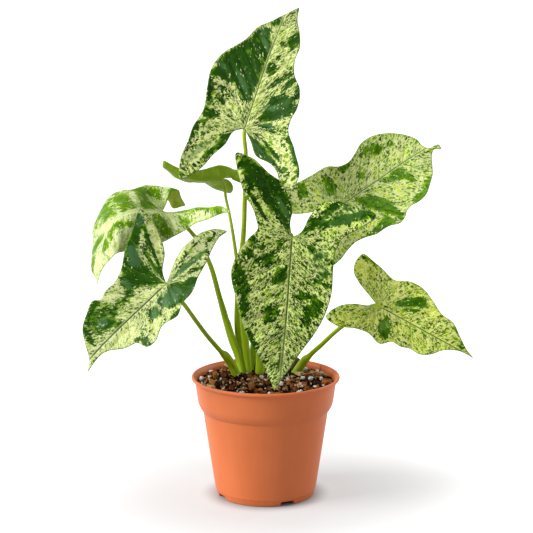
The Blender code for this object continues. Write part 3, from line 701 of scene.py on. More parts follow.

# Markings on the flat blades. The darkness is nowhere under its floor; patches are (strength,
# outline) and the rest are ellipses, as in spot_field.
# The painted gloss ellipses in each entry are painted reflections of the bright surroundings on the glossy
# skin.
MARKS = {
    "a": dict(floor=-0.42, patches=[
        (1, [(-41, 35), (-33, 59), (-26, 68), (-19, 79), (-15, 89), (-6, 92), (-5, 84), (0, 75), (-2, 65),
            (-1, 54), (-2, 33), (-2, 24), (-10, 24), (-12, 28), (-19, 34), (-31, 35)]),
        (1, [(10, 84), (16, 96), (20, 86), (15, 75)]),
        (1.1, [(9, 11), (11, 22), (13, 31), (27, 35), (38, 27), (38, 21), (32, 18), (23, 14), (15, 11)]),
        (1.2, [(8, 5), (19, 9), (25, 1), (17, 4)]),
        (0.8, [(-39, -18), (-39, -7), (-30, -1), (-35, -11), (-39, -25)]),
        (1.2, [(-8, -4), (-16, -12), (-17, -23), (-10, -15), (-6, -9)]),
        (1.2, [(3, -4), (15, -8), (32, -21), (39, -26), (31, -26), (20, -22), (14, -19), (6, -7)]),
        (1, [(33, 9), (40, 0), (46, -8), (55, -26), (47, -16), (38, -3)]),
        (-0.1, [(-40, 32), (-28, 30), (-22, 20), (-25, 8), (-38, 6)])],
        dark=[(-4, 101, 4, 5, -30), (6, 80, 3, 2.5, 0), (5, 56, 4, 6, 0), (7, 67, 3, 2.5, 0),
              (34, 42, 3.5, 7, 15), (18, 50, 13, 2, 48, 0.7), (24, 45, 11, 2, 60, 0.7),
              (33, -24, 12, 1.6, -35), (-30, 3, 7, 3, 20), (-20, -26, 12, 2, 60, 0.8),
              (28, -14, 14, 1.6, -38)],
        cream=[(-19, 50, 3, 2, 0), (-20, 35, 3, 2, 0), (-17, 65, 4, 3, 0), (-6, 62, 3, 4, 0),
               (-22, 57, 3, 2, 0), (-7, 51, 2, 3, 0), (-12, 78, 5, 4, 0), (4, 72, 3.5, 12, 0),
               (3, 32, 3.5, 22, 0), (6, 92, 4, 12, -10), (12, 76, 5, 4, 0), (-17, 14, 12, 4, 30, 0.6),
               (14, 62, 5, 3, 0, 0.6), (-24, -14, 14, 3, 55), (-30, -34, 16, 3, 65), (30, -10, 20, 3, -35),
               (28, 12, 5, 3, 0)],
        painted_gloss=[(-33, 46, 7, 3, -20, 0.7), (-14, 39, 12, 3, -48, 0.7), (-6, 77, 11, 2.5, -52, 0.6),
               (16, 23, 7, 3, 10), (17, 7.5, 10, 2, -5), (-30, -30, 14, 3, 65), (-12, 88, 8, 3, -50, 0.6)]),
    "b": dict(floor=0.0, dark=[(-3, 30, 4, 26, 0, 0.6)], cream=[(-9, 20, 5, 18, 0), (12, 10, 4, 18, 0)]),
    "c": dict(floor=-0.55, patches=[
        (1, [(0, 8), (1, 22), (8, 21), (14, 17), (24, 14), (31, 12), (30, 2), (24, -8), (14, -6), (20, 3),
            (8, 5)]),
        (1, [(1, 42), (8, 40), (16, 36), (26, 34), (32, 30), (27, 22), (14, 26), (4, 34)]),
        (1, [(5, 46), (12, 51), (24, 50), (38, 52), (42, 42), (32, 38), (18, 42)]),
        (-0.05, [(4, 22), (12, 26), (28, 22), (34, 16), (44, 36), (44, 52), (30, 60), (10, 54), (4, 46)]),
        (1, [(-15, 76), (-8, 81), (0, 80), (2, 74), (-8, 70)]),
        (1, [(-16, 70), (-5, 66), (-3, 58), (-9, 46), (-16, 38), (-13, 52), (-10, 60)]),
        (0.8, [(-24, 10), (-16, 18), (-6, 17), (-4, 10), (-12, 4), (-24, 2)]),
        (0.8, [(0, 66), (12, 66), (22, 70), (28, 82), (20, 82), (8, 72)]),
        (0.9, [(-3, -10), (-7, -18), (-16, -26), (-25, -35), (-37, -50), (-33, -42), (-24, -31), (-15, -21),
            (-8, -13)]),
        (1, [(-9, -10), (-15, -14), (-20, -17), (-19, -11), (-13, -8)])],
        dark=[(18, 90, 4, 6, 20, 0.7), (14, -20, 4, 10, 40)],
        cream=[(0, 40, 3, 60, 0), (0, 60, 7, 6, 0), (5, 90, 12, 8, 0), (-22, 70, 6, 14, 0),
               (10, 60, 12, 4, 0), (-12, -2, 8, 5, 0), (-29, -28, 12, 5, 48, 0.7)],
        painted_gloss=[(16, 19, 12, 2.5, -12)]),
    "d": dict(floor=-0.62, patches=[
        (1, [(0.5, 0.5), (7, 9), (12, 15), (20, 26), (26, 23), (32, 18), (40, 7), (48, -8), (55, -24),
            (50, -24), (42, -12), (36, -3), (26, 1), (12, 1)]),
        (1, [(-3, 1), (-6, 7), (-5, 13), (-12, 15), (-17, 13), (-20, 5), (-22, -2), (-20, -9), (-15, -19),
            (-12, -18), (-9, -9), (-5, -6)]),
        (0.9, [(-17, 23), (-12, 29), (-7, 24), (-6, 20), (-10, 19)]),
        (0.9, [(4, 50), (6, 56), (8, 64), (14, 66), (17, 60), (14, 52), (8, 48)]),
        (0.9, [(16, 68), (22, 66), (26, 58), (29, 49), (26, 46), (23, 56)]),
        (0.8, [(-30, 44), (-24, 48), (-16, 47), (-22, 43)]),
        (0.25, [(9, 44), (14, 38), (22, 42), (24, 54), (20, 64), (12, 66), (12, 54)])],
        dark=[(15, 26, 3, 5, 30), (9, 31, 2.5, 1.5, 0), (13, 33, 2, 2, 0), (17, 36, 3, 1.5, 30),
              (3, 49, 3, 5, 0), (10, 72, 4, 2, -20), (18, 70, 4, 2, -30), (26, -11, 27, 1.3, -23),
              (16, -3, 14, 1.6, -12), (40, -17, 10, 1.5, -32), (-1, -24, 2.2, 18, 0), (7, -34, 1.3, 12, 8),
              (-9, -26, 1.5, 9, -22), (4, -50, 1.2, 8, 5), (-26, 12, 2.5, 6, 0), (-12, 40, 5, 1.2, 20)],
        cream=[(-9, 48, 8, 14, 0), (5, 20, 3, 18, -12), (-20, 30, 5, 6, 0), (5, -40, 4, 14, 0),
               (22, 38, 6, 8, 0), (-4, 5, 2, 3, 0), (30, -20, 18, 3, -20), (-4, 72, 2, 10, 0)],
        painted_gloss=[(33, 2, 10, 6, -30), (-10, 6, 7, 12, 0), (-1, -24, 2.5, 18, 0), (22, 22, 5, 3, 0),
               (-12, 24, 5, 4, 0), (50, -20, 8, 3, -60), (13, 57, 4, 6, 0)]),
    "e": dict(floor=-0.38, patches=[
        (1, [(3, -4), (1.5, -20), (6, -33), (14, -44), (28, -53), (45, -61), (47, -56), (41, -46),
            (32, -35), (22, -24), (12, -14), (6, -7)]),
        (0.3, [(4, 3), (10, 13), (14, 22), (17, 27), (22, 25), (27, 23), (23, 19), (14, 14), (8, 4)]),
        (1, [(3, 24), (12, 33), (12, 40), (5, 39), (2, 28)]),
        (0.5, [(46, 35), (43, 28), (33, 42), (30, 48), (38, 53), (44, 50)]),
        (0.3, [(18, 64), (14, 56), (11, 59), (5, 60), (11, 69), (17, 71)]),
        (0.3, [(-18, 46), (-24, 49), (-27, 53), (-26, 60), (-20, 65), (-19, 56)])],
        dark=[(30, 7, 3, 3, 0), (23, 12, 3, 2, 0), (34, 20, 5, 3, 20), (26, 24, 3, 2, 0), (-16, 8, 3, 3, 0),
              (-22, 14, 3, 3, 0), (-24, 34, 3, 2.5, 0), (-30, 37, 2.5, 2.5, 0), (34, 61, 3, 8, 0, 0.7),
              (25, 88, 2, 9, 25, 0.7), (-16, 62, 3, 7, 0, 0.6), (-28, 28, 3, 3, 0, 0.6),
              (-12, 47, 4, 3, 0, 0.6), (-14, -9, 10, 2.5, 30), (-40, -18, 22, 4, 20, 0.5),
              (-56, -24, 8, 4, 10, 0.6), (-30, -27, 11, 3, 42), (-20, -17, 9, 2, 35), (-11, -17, 3, 5, 0),
              (1, 100, 2, 7, 0), (30, -22, 12, 2.5, -50), (38, -40, 10, 2, -60)],
        cream=[(24, -20, 16, 3, -52), (45, -57, 4, 3, 0), (-38, -11, 12, 3, 20, 0.6),
               (-24, -21, 10, 1.5, 35)],
        painted_gloss=[(-42, -22, 20, 9, 20, 0.2), (-24, 20, 8, 16, 0, 0.2), (8, -22, 14, 2.5, -60)]),
    "f": dict(floor=-0.5, patches=[
        (2, [(3, 18), (9, 29), (20, 40), (35, 44), (46, 45), (39, 40), (26, 31), (14, 23), (6, 19)]),
        (0.8, [(36, 20), (34, 35), (44, 38), (44, 22)]),
        (1, [(-1, 52), (6, 64), (15, 67), (22, 68), (15, 62), (8, 55)]),
        (1, [(-1, 40), (6, 47), (10, 55), (6, 52), (2, 46)]),
        (1, [(-28, 56), (-22, 58), (-20, 49), (-25, 48), (-27, 39), (-29, 47)]),
        (0.8, [(-32, 4), (-22, 9), (-12, 5), (-18, 0)]),
        (0.4, [(30, 82), (38, 74), (42, 62), (36, 58), (32, 68), (26, 78)])],
        dark=[(-20, 66, 2.5, 2.5, 0), (-27, 23, 3, 4, 0), (-32, -17, 6, 4, 0, 0.7), (-12, 33, 2, 3, 0),
              (39, 15, 2, 14, -15, 0.5)],
        cream=[(12, 40, 9, 3, 40, 0.7), (25, 52, 12, 3, 10, 0.7), (-10, 62, 5, 10, 0, 0.4),
               (30, 20, 5, 8, 0, 0.6)],
        painted_gloss=[(-20, -2, 8, 3, 0), (10, 74, 8, 3, 30, 0.5)]),
    "g": dict(floor=-0.55, patches=[
        (2, [(-7, 12), (-16, 19), (-22, 31), (-18, 37), (-13, 25), (-8, 17)]),
        (2, [(-7, 21), (-11, 26), (-12, 31), (-8, 27)]),
        (1.2, [(10, 9), (4, 11), (11, 18), (21, 19), (17, 11)])],
        dark=[(-3, 75, 2, 2.5, 0), (-13, 66, 2, 3, 0), (-28.5, -18, 0.9, 8, 0, 0.5)],
        cream=[(-16, 42, 3, 6, 30, 0.5), (20, -12, 5, 8, 0, 0.5), (-18, -22, 5, 8, 0, 0.5)],
        painted_gloss=[(12, 13, 5, 4, 0), (-4, 14, 3, 8, 50, 0.7)]),
}
for letter, leaf in LEAVES.items():
    leaf.update(MARKS[letter])

# ---------------------------------------------------------------- leaf stalks

# Each sheath: the side it wraps (0 is left, 90 the front, 180 right), the share where its shoulder is, bulge.
SHEATHS = {"a": (120, 0.2, 0.2), "b": (150, 0.2, 0.2), "c": (170, 0.3, 0.2), "d": (180, 0.23, 0.3),
           "e": (90, 0.2, 0.15), "f": (60, 0.25, 0.2), "g": (0, 0.2, 0.35)}
FOOT_LENGTH = 40             # a stalk's foot fades out over this length
STALK_END = 0.35             # radius of its end under the blade, as a share of the radius before it
STALK_STEP, STALK_SIDES = 1.6, 28
SUNK = 1.5                   # depth of its foot in the mix


def stalk_finish():
    """Ribbed green skin, with painted light making it paler high up, and paler at the foot, partly its own
    pale base and partly painted light over the shade that falls there.
    """
    g = Graph("leaf_stalk")
    turn, along, foot = g.parts(g.attribute("stalk"))
    place = g.point(turn, 0.035 * along, 3.0)
    fibres, broad = g.noise(place, (26, 1, 1), 3.0, 0.6), g.noise(place, (2.5, 0.7, 1), 2.0)
    flecks = g.noise(place, (9, 9, 1), 2.0)
    skin = g.blend(g.step(0.5 * fibres + broad, -0.9, 0.9), colour(128, 158, 0), colour(166, 192, 14))
    # Painted light: the stalks grow paler higher up, where the real ones are better lit.
    skin = g.blend(0.45 * g.step(along, 25, 120), skin, colour(186, 206, 56))
    # Paler at the foot: partly the stalk's own pale base, partly painted light over the shade that falls
    # there.
    skin = g.blend(0.8 * g.step(foot + 0.15 * broad, 0.5, 0.95), skin, colour(178, 212, 48))
    skin = g.blend(0.35 * g.step(flecks, 0.75, 1.1), skin, colour(190, 210, 130))
    g.bump(0.5 * fibres + 0.2 * flecks, 0.0004, 0.35)
    return g.set(Base_Color=skin, Specular_IOR_Level=0.12, Roughness=0.05 * fibres + 0.32)


def tube_rings(route, girths, spacing, sides, swell):
    """Points, faces and (turn, along, foot) of a tube; swell(turns, share) scales its radius."""
    line = smooth_line(route, spacing)
    shares = np.linspace(0, 1, len(line))
    lengths = run_lengths(line)
    radii = np.interp(shares, *zip(*girths))
    tangents = np.gradient(line, axis=0)
    tangents /= np.linalg.norm(tangents, axis=1)[:, None]
    turns = np.arange(sides) * TURN / sides
    across = np.cross(tangents[0], (0, 1, 0))
    points, notes = [], []
    for k, (spot, tangent, radius) in enumerate(zip(line, tangents, radii)):
        across = across - tangent * (across @ tangent)
        across /= np.linalg.norm(across)
        deep = np.cross(tangent, across)
        reach = radius * swell(turns, shares[k])
        points.append(spot + np.outer(reach * np.cos(turns), across) + np.outer(reach * np.sin(turns), deep))
        here = np.tile((lengths[k], 1 - lengths[k] / FOOT_LENGTH), (sides, 1))
        notes.append(np.column_stack([np.abs(turns / math.pi - 1), here]))
    last = (len(line) - 1) * sides
    faces = [quad for first in range(0, last, sides) for quad in band(first, first + sides, sides)]
    faces += [range(sides), range(last, last + sides)]
    return np.concatenate(points), faces, np.concatenate(notes)


def add_tube(name, slot, node, finish, *shape):
    points, faces, notes = tube_rings(*shape)
    piece = add_piece(name, points, faces, [finish])
    write_attribute(piece.data, "stalk", notes, "POINT")
    settle(piece, slot, node)


def sheath_swell(side, shoulder, bulge):
    """Radius of a stalk whose sheath wraps one side up to a shoulder, with a thin raised edge each side."""
    def swell(turns, share):
        there = float(ease(share, shoulder, shoulder - 0.03))
        away = np.abs((turns - math.radians(side) + math.pi) % TURN - math.pi)
        cover = ease(away, 1.9, 0.9)
        edge = np.exp(-((away - 1.35) / 0.16) ** 2)
        return 1 + there * (bulge * cover + 0.1 * edge)
    return swell


def make_stalk(letter, leaf):
    """A stalk from the mix to the midrib, ending just under the blade."""
    route, girths = STALKS[letter]
    near = shaped(np.array([(0, 0.2), (0, 7.0), (0.3, 0.2), (0, 0.6)]), leaf)
    out = np.cross(near[2] - near[0], near[3] - near[0])
    out /= np.linalg.norm(out)
    foot = np.array(route[0], float)
    foot[2] = soil_height(math.hypot(*foot[:2])) - SUNK
    line = [foot, *route[1:], near[0] - 1.5 * out, near[1] - 1.4 * out]
    girths = [(share * 0.96, radius) for share, radius in girths] + [(1, STALK_END * girths[-1][1])]
    add_tube(f"stalk_{letter}", "leaf_stalk", f"petiole_{letter}", STALK_FINISH,
             line, girths, STALK_STEP, STALK_SIDES, sheath_swell(*SHEATHS[letter]))


def make_dry_bits():
    """The withered sheath between the stalks and the cut stub of an old one."""
    sides = 14

    def ragged(seed):
        rough = np.random.default_rng(seed).uniform(0.75, 1.25, sides)
        return lambda turns, share: 1 + (rough - 1) * (0.4 + 0.6 * share)

    for name, node, route, girths, seed in (
            ("dry_wisp", "dried_sheath", [(-8.4, 18, 95.5), (-8, 19, 102), (-6.6, 20, 109)],
             [(0, 1.7), (0.5, 1.2), (1, 0.4)], 3),
            ("stub", "old_stalk_stub", [(22.5, 22, 95), (24, 24, 101), (27, 26, 106)],
             [(0, 2.2), (0.8, 1.7), (1, 1.2)], 4)):
        add_tube(name, "dry_sheath", node, DRY_FINISH, route, girths, 0.8, sides, ragged(seed))


def dry_finish():
    """Brown papery fibres."""
    g = Graph("dry_sheath")
    turn, along, _ = g.parts(g.attribute("stalk"))
    fibres = g.noise(g.point(8.0 * turn, 0.15 * along, 5.0), 1.5, 4.0, 0.7)
    skin = g.blend(g.step(fibres, -0.7, 0.8), colour(70, 44, 26), colour(150, 112, 66))
    g.bump(fibres, 0.0005, 0.6)
    return g.set(Base_Color=skin, Roughness=0.08 * fibres + 0.8)


# ---------------------------------------------------------------- pot

POT_SIDES, DRAIN_SIDES = 192, 32
WALL = 1.2
LIP_RADIUS, LIP_TOP, LIP_LOW = 60.0, 98.6, 95.9
BAND_TOP_RADIUS, BAND_FOOT_RADIUS, BAND_FOOT = 57.2, 54.4, 76.0
STEP_RADIUS, STEP_FOOT = 50.6, 70.0
FOOT_RADIUS, FOOT_CORNER = 38.8, 5.0
CORNER_RADIUS = 40.8
FLOOR = 4.2
PAD_RADIUS = 12.0
NOTCH_ANGLES = (-63.5, 26.5, 116.5, 206.5)
NOTCH_WIDTH, NOTCH_TOP_WIDTH, NOTCH_HEIGHT = 14.0, 11.0, 3.8
DRAIN_RADIUS, DRAIN_PLACE = 3.5, 29.0
SOIL_EDGE, SOIL_CROWN, CROWN_RADIUS = 93.2, 97.2, 28.0
GAP = 0.3                    # between the mix and the wall


def wall_radius(height):
    """Outer radius of the pot wall at a height: tapered body, step and band."""
    heights = (FOOT_CORNER, STEP_FOOT, BAND_FOOT, LIP_LOW)
    radii = (CORNER_RADIUS, STEP_RADIUS, BAND_FOOT_RADIUS, BAND_TOP_RADIUS)
    return float(np.interp(height, heights, radii))


def soil_height(radius):
    """Height of the smooth surface of the mix at a distance from the pot's axis."""
    edge = wall_radius(SOIL_EDGE) - WALL - GAP
    return SOIL_EDGE + (SOIL_CROWN - SOIL_EDGE) * ease(radius, edge, CROWN_RADIUS)


def rounded(profile, steps=5):
    """A (radius, height, rounding) profile with each corner replaced by a small curve."""
    line = []
    for k, (radius, height, size) in enumerate(profile):
        if size == 0 or k in (0, len(profile) - 1):
            line.append((radius, height))
            continue
        here = np.array((radius, height))
        before, after = (np.array(profile[j][:2]) for j in (k - 1, k + 1))
        start = here + (before - here) * min(size / np.linalg.norm(before - here), 0.5)
        end = here + (after - here) * min(size / np.linalg.norm(after - here), 0.5)
        for t in np.linspace(0, 1, steps):
            line.append(tuple((1 - t) ** 2 * start + 2 * t * (1 - t) * here + t * t * end))
    return line


def turned(profile, sides):
    """Points and faces of a closed profile of (radius, height) turned about Z; its ends lie on the axis."""
    points, rings = [], []
    for radius, height in profile:
        first = len(points)
        if radius == 0:
            rings.append([first] * sides)
            points.append((0, 0, height))
        else:
            rings.append(list(range(first, first + sides)))
            points += [(x, y, height) for x, y in ring(radius, sides)]
    faces = []
    for above, below in zip(rings, rings[1:]):
        for k in range(sides):
            n = (k + 1) % sides
            faces.append(tuple(dict.fromkeys((above[k], below[k], below[n], above[n]))))
    return points, faces


def pot_shell():
    """The pot's profile of (radius, height): inside from the floor up, over the lip, and down the outside."""
    line = [(0, FLOOR + WALL, 0), (FOOT_RADIUS - 3.4, FLOOR + WALL, 2)]
    line += [(wall_radius(z) - WALL, z, 1.5) for z in (FOOT_CORNER + 4, STEP_FOOT, BAND_FOOT)]
    line += [(wall_radius(LIP_LOW) - WALL, LIP_LOW, 1), (LIP_RADIUS - 2.7, LIP_TOP - 1.2, 0.8),
             (LIP_RADIUS - 2.0, LIP_TOP, 0.7), (LIP_RADIUS - 0.6, LIP_TOP, 0.9),
             (LIP_RADIUS, LIP_TOP - 1.4, 0.8), (LIP_RADIUS - 0.5, LIP_LOW + 0.1, 0.5),
             (BAND_TOP_RADIUS + 0.9, LIP_LOW - 0.2, 0.5), (BAND_TOP_RADIUS - 0.1, LIP_LOW - 1.2, 0.8)]
    line += [(BAND_FOOT_RADIUS + 0.1, BAND_FOOT + 0.3, 2.6), (STEP_RADIUS + 1.7, STEP_FOOT + 2.0, 1.2),
             (STEP_RADIUS + 0.5, STEP_FOOT + 0.9, 0.7), (STEP_RADIUS, STEP_FOOT, 0.6),
             (CORNER_RADIUS + 0.1, FOOT_CORNER + 0.7, 0.4), (CORNER_RADIUS - 0.35, FOOT_CORNER - 0.1, 0.4),
             (FOOT_RADIUS + 0.2, 0.6, 0.5), (FOOT_RADIUS - 0.8, 0, 0.3), (FOOT_RADIUS - 4.2, 0, 0.5),
             (FOOT_RADIUS - 5.4, FLOOR, 0.5), (PAD_RADIUS + 3, FLOOR, 1), (PAD_RADIUS, 0, 0.5), (0, 0, 0)]
    return rounded(line)


def prism(angle, near, far, low, high, low_width, high_width):
    """A cutter for a foot notch, narrower towards its top."""
    corners = [(reach, side * width, height) for reach in (near, far)
               for height, width in ((low, low_width), (high, high_width)) for side in (-0.5, 0.5)]
    faces = [(0, 1, 3, 2), (4, 6, 7, 5), (0, 4, 5, 1), (2, 3, 7, 6), (0, 2, 6, 4), (1, 5, 7, 3)]
    cutter = add_piece("cutter", corners, faces, [POT_FINISH], smooth=False)
    cutter.rotation_euler.z = math.radians(angle)
    return cutter


def make_pot():
    points, faces = turned(pot_shell(), POT_SIDES)
    pot = add_piece("nursery_pot", points, [f[::-1] for f in faces], [POT_FINISH])
    hole = [(0, FLOOR + 4), (DRAIN_RADIUS, FLOOR + 4), (DRAIN_RADIUS, FLOOR - 2), (0, FLOOR - 2)]
    cutters = []
    for angle in NOTCH_ANGLES:
        notch = prism(angle, FOOT_RADIUS - 8, FOOT_RADIUS + 5, -1, NOTCH_HEIGHT, NOTCH_WIDTH, NOTCH_TOP_WIDTH)
        drain = add_piece("cutter", *turned(hole, DRAIN_SIDES), [POT_FINISH])
        drain.location = (MM * DRAIN_PLACE * math.cos(math.radians(angle)),
                          MM * DRAIN_PLACE * math.sin(math.radians(angle)), 0)
        cutters += [notch, drain]
    for cutter in cutters:
        modifier = pot.modifiers.new("cut", "BOOLEAN")
        modifier.operation, modifier.object, modifier.solver = "DIFFERENCE", cutter, "EXACT"
    bpy.context.view_layer.update()
    cut_mesh = bpy.data.meshes.new_from_object(pot.evaluated_get(bpy.context.evaluated_depsgraph_get()))
    pot.modifiers.clear()
    pot.data = cut_mesh
    cut_mesh.set_sharp_from_angle(angle=math.radians(48))
    for cutter in cutters:
        bpy.data.objects.remove(cutter, do_unlink=True)
    settle(pot, "terracotta_plastic", "pot")


def pot_finish():
    """Moulded terracotta plastic: faint flow streaks, mottling, small scuffs and a satin skin."""
    g = Graph("terracotta_plastic")
    place = g.add("TexCoord", out=3)
    broad, grain = g.noise(place, 22.0, 2.0), g.noise(place, 1400.0, 2.0)
    streaks = g.noise(place, (90, 90, 9), 3.0, 0.6)
    scuffs = g.step(g.noise(place, (160, 160, 520), 4.0, 0.7), 0.85, 1.25)
    skin = g.blend(g.step(broad + 0.5 * streaks, -1.2, 1.2), colour(226, 119, 65), colour(234, 127, 73))
    skin = g.blend(0.12 * scuffs, skin, colour(240, 176, 146))
    g.bump(0.3 * grain + 0.5 * broad - 0.3 * scuffs, 0.00012, 0.4)
    return g.set(Base_Color=skin, Specular_IOR_Level=0.32, Roughness=0.03 * broad + 0.1 * scuffs + 0.52)


# ---------------------------------------------------------------- potting mix

BED_DROP = 0.6               # the bed lies this far below the smooth surface, before its crumbs
SCATTER_TRIES = 6000         # places drawn for each kind of small piece, always all of them


def mix_bed_finish():
    g = Graph("potting_mix")
    crumbs = g.noise(g.add("TexCoord", out=3), 420.0, 4.0, 0.7)
    # The bed's near-black is partly the dark peat and partly painted shade of the gaps between the chips.
    skin = g.blend(g.step(crumbs, -0.6, 1.1), colour(6, 3, 1), colour(56, 32, 12))
    g.bump(crumbs, 0.001, 1.0)
    return g.set(Base_Color=skin, Specular_IOR_Level=0.05, Roughness=0.04 * crumbs + 0.92)


def bark_finish():
    """Bark chips, each in its own brown, with fibres and pale broken flakes."""
    g = Graph("bark")
    lot, tone, pale = g.parts(g.attribute("chip"))
    spot = g.vector("ADD", g.add("TexCoord", out=3), g.point(lot, tone, pale))
    fibres = g.noise(spot, (500, 900, 260), 3.0, 0.65)
    skin = g.blend(g.step(tone + 0.35 * fibres, 0.0, 1.2), colour(36, 16, 4), colour(192, 122, 64))
    skin = g.blend(0.85 * g.step(pale + 0.25 * fibres, 0.78, 1.02), skin, colour(252, 214, 156))
    g.bump(fibres, 0.0012, 0.7)
    return g.set(Base_Color=skin, Specular_IOR_Level=0.06, Roughness=0.08 * fibres + 0.72)


def perlite_finish():
    g = Graph("perlite")
    pores = g.noise(g.add("TexCoord", out=3), 1300.0, 3.0, 0.6)
    skin = g.blend(g.step(pores, -1.0, 0.2), colour(250, 245, 236), colour(255, 255, 252))
    g.bump(pores, 0.0008, 0.8)
    return g.set(Base_Color=skin, Specular_IOR_Level=0.2, Roughness=0.05 * pores + 0.85)


def make_bed():
    """The crumbly surface of the mix, sinking a little at the wall, and its sides down to the floor."""
    rings, sides = 60, 200
    edge = wall_radius(SOIL_EDGE) - WALL - GAP
    spots = [(0.0, 0.0)]
    for k in range(rings):
        spots += ring(edge * (k + 1) / rings, sides)
    spots = np.array(spots)
    height = soil_height(np.hypot(*spots.T)) - BED_DROP
    for share, scale, seed in ((0.9, 5, 7), (0.5, 2.2, 8), (0.25, 1.1, 9)):
        height += share * lattice_noise(spots, scale, seed)
    points = np.column_stack([spots, height]).tolist()
    faces = [(0, 1 + i, 1 + (i + 1) % sides) for i in range(sides)]
    for k in range(rings - 1):
        faces += band(1 + k * sides, 1 + (k + 1) * sides, sides)
    last = 1 + (rings - 1) * sides
    for z in (BAND_FOOT, STEP_FOOT, FOOT_CORNER + 4.4):
        faces += band(last, len(points), sides)
        last = len(points)
        points += [(x, y, z) for x, y in ring(wall_radius(z) - WALL - GAP, sides)]
    faces.append(tuple(range(last + sides - 1, last - 1, -1)))
    bed = add_piece("mix_bed", points, faces, [mix_bed_finish()], sharp=60)
    settle(bed, "potting_mix", "potting_soil")


def chip(random, size, flat):
    """An angular bark chip: the hull of points on a stretched ball, as (points, faces)."""
    ball = random.normal(size=(11, 3))
    ball /= np.linalg.norm(ball, axis=1)[:, None]
    corners = ball * size * np.array([random.uniform(1.0, 1.3), random.uniform(0.7, 1.0), flat])
    spin = Matrix.Rotation(random.uniform(0, TURN), 3, "Z")
    spin @= Matrix.Rotation(random.normal() * 0.45, 3, "X")
    corners = corners @ np.array(spin).T
    work = bmesh.new()
    for corner in corners:
        work.verts.new(corner)
    hull = bmesh.ops.convex_hull(work, input=work.verts)
    spare = [v for v in hull["geom_interior"] if isinstance(v, bmesh.types.BMVert)]
    bmesh.ops.delete(work, geom=spare, context="VERTS")
    bmesh.ops.bevel(work, geom=list(work.edges), offset=0.07 * size, segments=1, affect="EDGES")
    work.verts.index_update()
    return drained(work)


def grain(random, size):
    """A rounded, dented perlite grain."""
    work = bmesh.new()
    bmesh.ops.create_icosphere(work, subdivisions=2, radius=1)
    points, faces = drained(work)
    dents = 1 + 0.2 * lattice_noise(points[:, :2] + 3 * points[:, 2:], 0.7, int(random.integers(1000)))
    stretch = size * random.uniform(0.75, 1.15, 3)
    return points * dents[:, None] * stretch, faces


def heap(name, finish, slot, shapes, sharp):
    """One object from many (points, faces, place, note) shapes, for all the CAD's pieces of its slot."""
    points, faces, notes, count = [], [], [], 0
    for spots, sides, place, note in shapes:
        points.append(spots + place)
        faces += [tuple(i + count for i in f) for f in sides]
        notes.append(np.tile(note, (len(spots), 1)))
        count += len(spots)
    piece = add_piece(name, np.concatenate(points), faces, [finish], sharp=sharp)
    write_attribute(piece.data, "chip", np.concatenate(notes), "POINT")
    settle(piece, slot, *(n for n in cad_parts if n.startswith(f"{slot}_")))


def cad_grains(prefix):
    """Place and half-size of each of the frame's grains of one kind."""
    boxes = (np.array(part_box(node)) / MM for node in sorted(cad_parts) if node.startswith(prefix))
    return [((low + high) / 2, float((high - low)[:2].mean() / 2)) for low, high in boxes]


def make_mix():
    """Bark and perlite: the CAD's larger pieces, then finer ones scattered between them."""
    random = np.random.default_rng(11)
    feet = np.array([route[0][:2] for route, _ in STALKS.values()])
    edge = wall_radius(SOIL_EDGE) - WALL
    barks, perlites = cad_grains("bark_"), cad_grains("perlite_")
    # How many are wanted, of which kind, their least and greatest size, and the room each keeps.
    for wanted, chosen, low, high, room in ((130, barks, 2.6, 4.4, 0.72), (620, barks, 0.9, 2.4, 0.0),
                                            (150, perlites, 0.5, 1.5, 0.5)):
        made, kept = 0, list(chosen)
        for _ in range(SCATTER_TRIES):
            size = low + (high - low) * random.random() ** 1.4
            radius, turn = (edge - 0.8 * size) * math.sqrt(random.random()), random.uniform(0, TURN)
            spot = np.array((radius * math.cos(turn), radius * math.sin(turn)))
            if made == wanted or np.linalg.norm(feet - spot, axis=1).min() < 2.2 + 0.8 * size:
                continue
            if any(math.hypot(*(spot - other[:2])) < room * (size + span) for other, span in kept if room):
                continue
            lift = random.uniform(-0.15, 0.5) * size
            chosen.append((np.array((*spot, soil_height(radius) + lift)), size))
            kept.append(chosen[-1])
            made += 1
    chips = [(*chip(random, size, random.uniform(0.55, 0.85)), place,
              (random.uniform(0, 9), random.random(), random.random())) for place, size in barks]
    heap("bark_chips", bark_finish(), "bark", chips, 25)
    grains = [(*grain(random, size), place + (0, 0, 0.4), (random.random(),) * 3) for place, size in perlites]
    heap("perlite_grains", perlite_finish(), "perlite", grains, 60)


# ---------------------------------------------------------------- stage

# Lamps and camera are in metres. Each lamp has a place, a size and a power.
LAMPS = {"key": ((-2.15, -0.62, 1.75), 1.6, 98), "rim": ((1.7, 0.9, 0.9), 1.2, 14)}
LAMPS_AIM = (0, 0, 0.2)
WORLD_LIGHT = 0.42
FLOOR_RADIUS, FLOOR_SIDES = 30 / MM, 64
CAMERA_PLACE, CAMERA_TILT = (0.0007, -1.549, 0.5003), 78.6
SENSOR, FOCAL_LENGTH = 36, 133.7


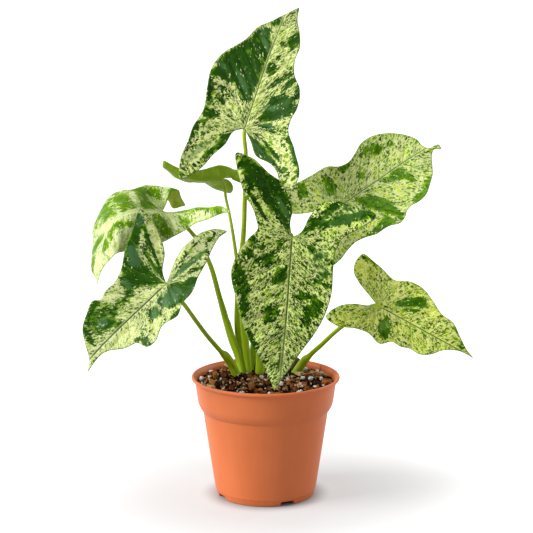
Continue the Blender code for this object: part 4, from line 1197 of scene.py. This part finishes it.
def area_light(name, place, size, power):
    lamp = bpy.data.lights.new(name, "AREA")
    lamp.shape, lamp.size, lamp.size_y, lamp.energy = "RECTANGLE", size, size, power
    thing = place_object(name, lamp)
    thing.location = place
    thing.rotation_euler = (Vector(LAMPS_AIM) - Vector(place)).to_track_quat("-Z", "Y").to_euler()


def floor_finish():
    """A plain pale floor that the camera and reflections see as white away from the plant. Its glow is
    withheld under the pot and fades in around its foot, painted shade over the rendered shadow there, and
    grows to full white further out, painted light over the farther part of the shadow.
    """
    g = Graph("floor")
    place = g.add("TexCoord", out=3)
    dust = g.noise(place, 40.0, 2.0)
    pale = g.blend(g.step(dust, -1, 1), (0.36, 0.36, 0.36, 1), (0.37, 0.37, 0.37, 1))
    away = g.vector("LENGTH", place, out=1)
    # Painted shade and painted light: no glow under the pot, a dim ring at its foot, full white far out.
    glow_with_painted_shade = 0.42 * g.step(away, 0.034, 0.055) + 0.58 * g.step(away, 0.06, 0.28)
    return g.set(Base_Color=pale, Roughness=0.02 * dust + 0.6, Emission_Color=(1, 1, 1, 1),
                 Emission_Strength=g.seen() * glow_with_painted_shade)


def make_stage():
    circle = [(x, y, 0) for x, y in ring(FLOOR_RADIUS, FLOOR_SIDES)]
    floor = add_piece("floor", circle, [range(FLOOR_SIDES)], [floor_finish()], smooth=False, outward=False)
    g = Graph("studio", world=True)
    light = g.add("MapRange", {"Value": g.seen(), "To Min": WORLD_LIGHT})
    bpy.context.scene.world = g.set(Color=(1, 1, 1, 1), Strength=light)
    for name, lamp in LAMPS.items():
        area_light(name, *lamp)


def make_camera():
    camera = bpy.data.cameras.new("camera")
    camera.sensor_width, camera.lens = SENSOR, FOCAL_LENGTH
    thing = place_object("camera", camera)
    thing.location = CAMERA_PLACE
    thing.rotation_euler = (math.radians(CAMERA_TILT), 0, 0)
    bpy.context.scene.camera = thing


# ---------------------------------------------------------------- the plant

POT_FINISH = pot_finish()
STALK_FINISH = stalk_finish()
DRY_FINISH = dry_finish()
LEAF_FINISHES = {letter: [leaf_finish(letter, underside, **tuning) for underside in (False, True)]
                 for letter, tuning in FINISHES.items()}

bpy.context.scene.view_settings.view_transform = "Standard"
make_camera()
make_stage()
make_pot()
make_bed()
make_mix()
for letter, leaf in LEAVES.items():
    make_blade(letter, leaf)
    make_stalk(letter, leaf)
make_dry_bits()
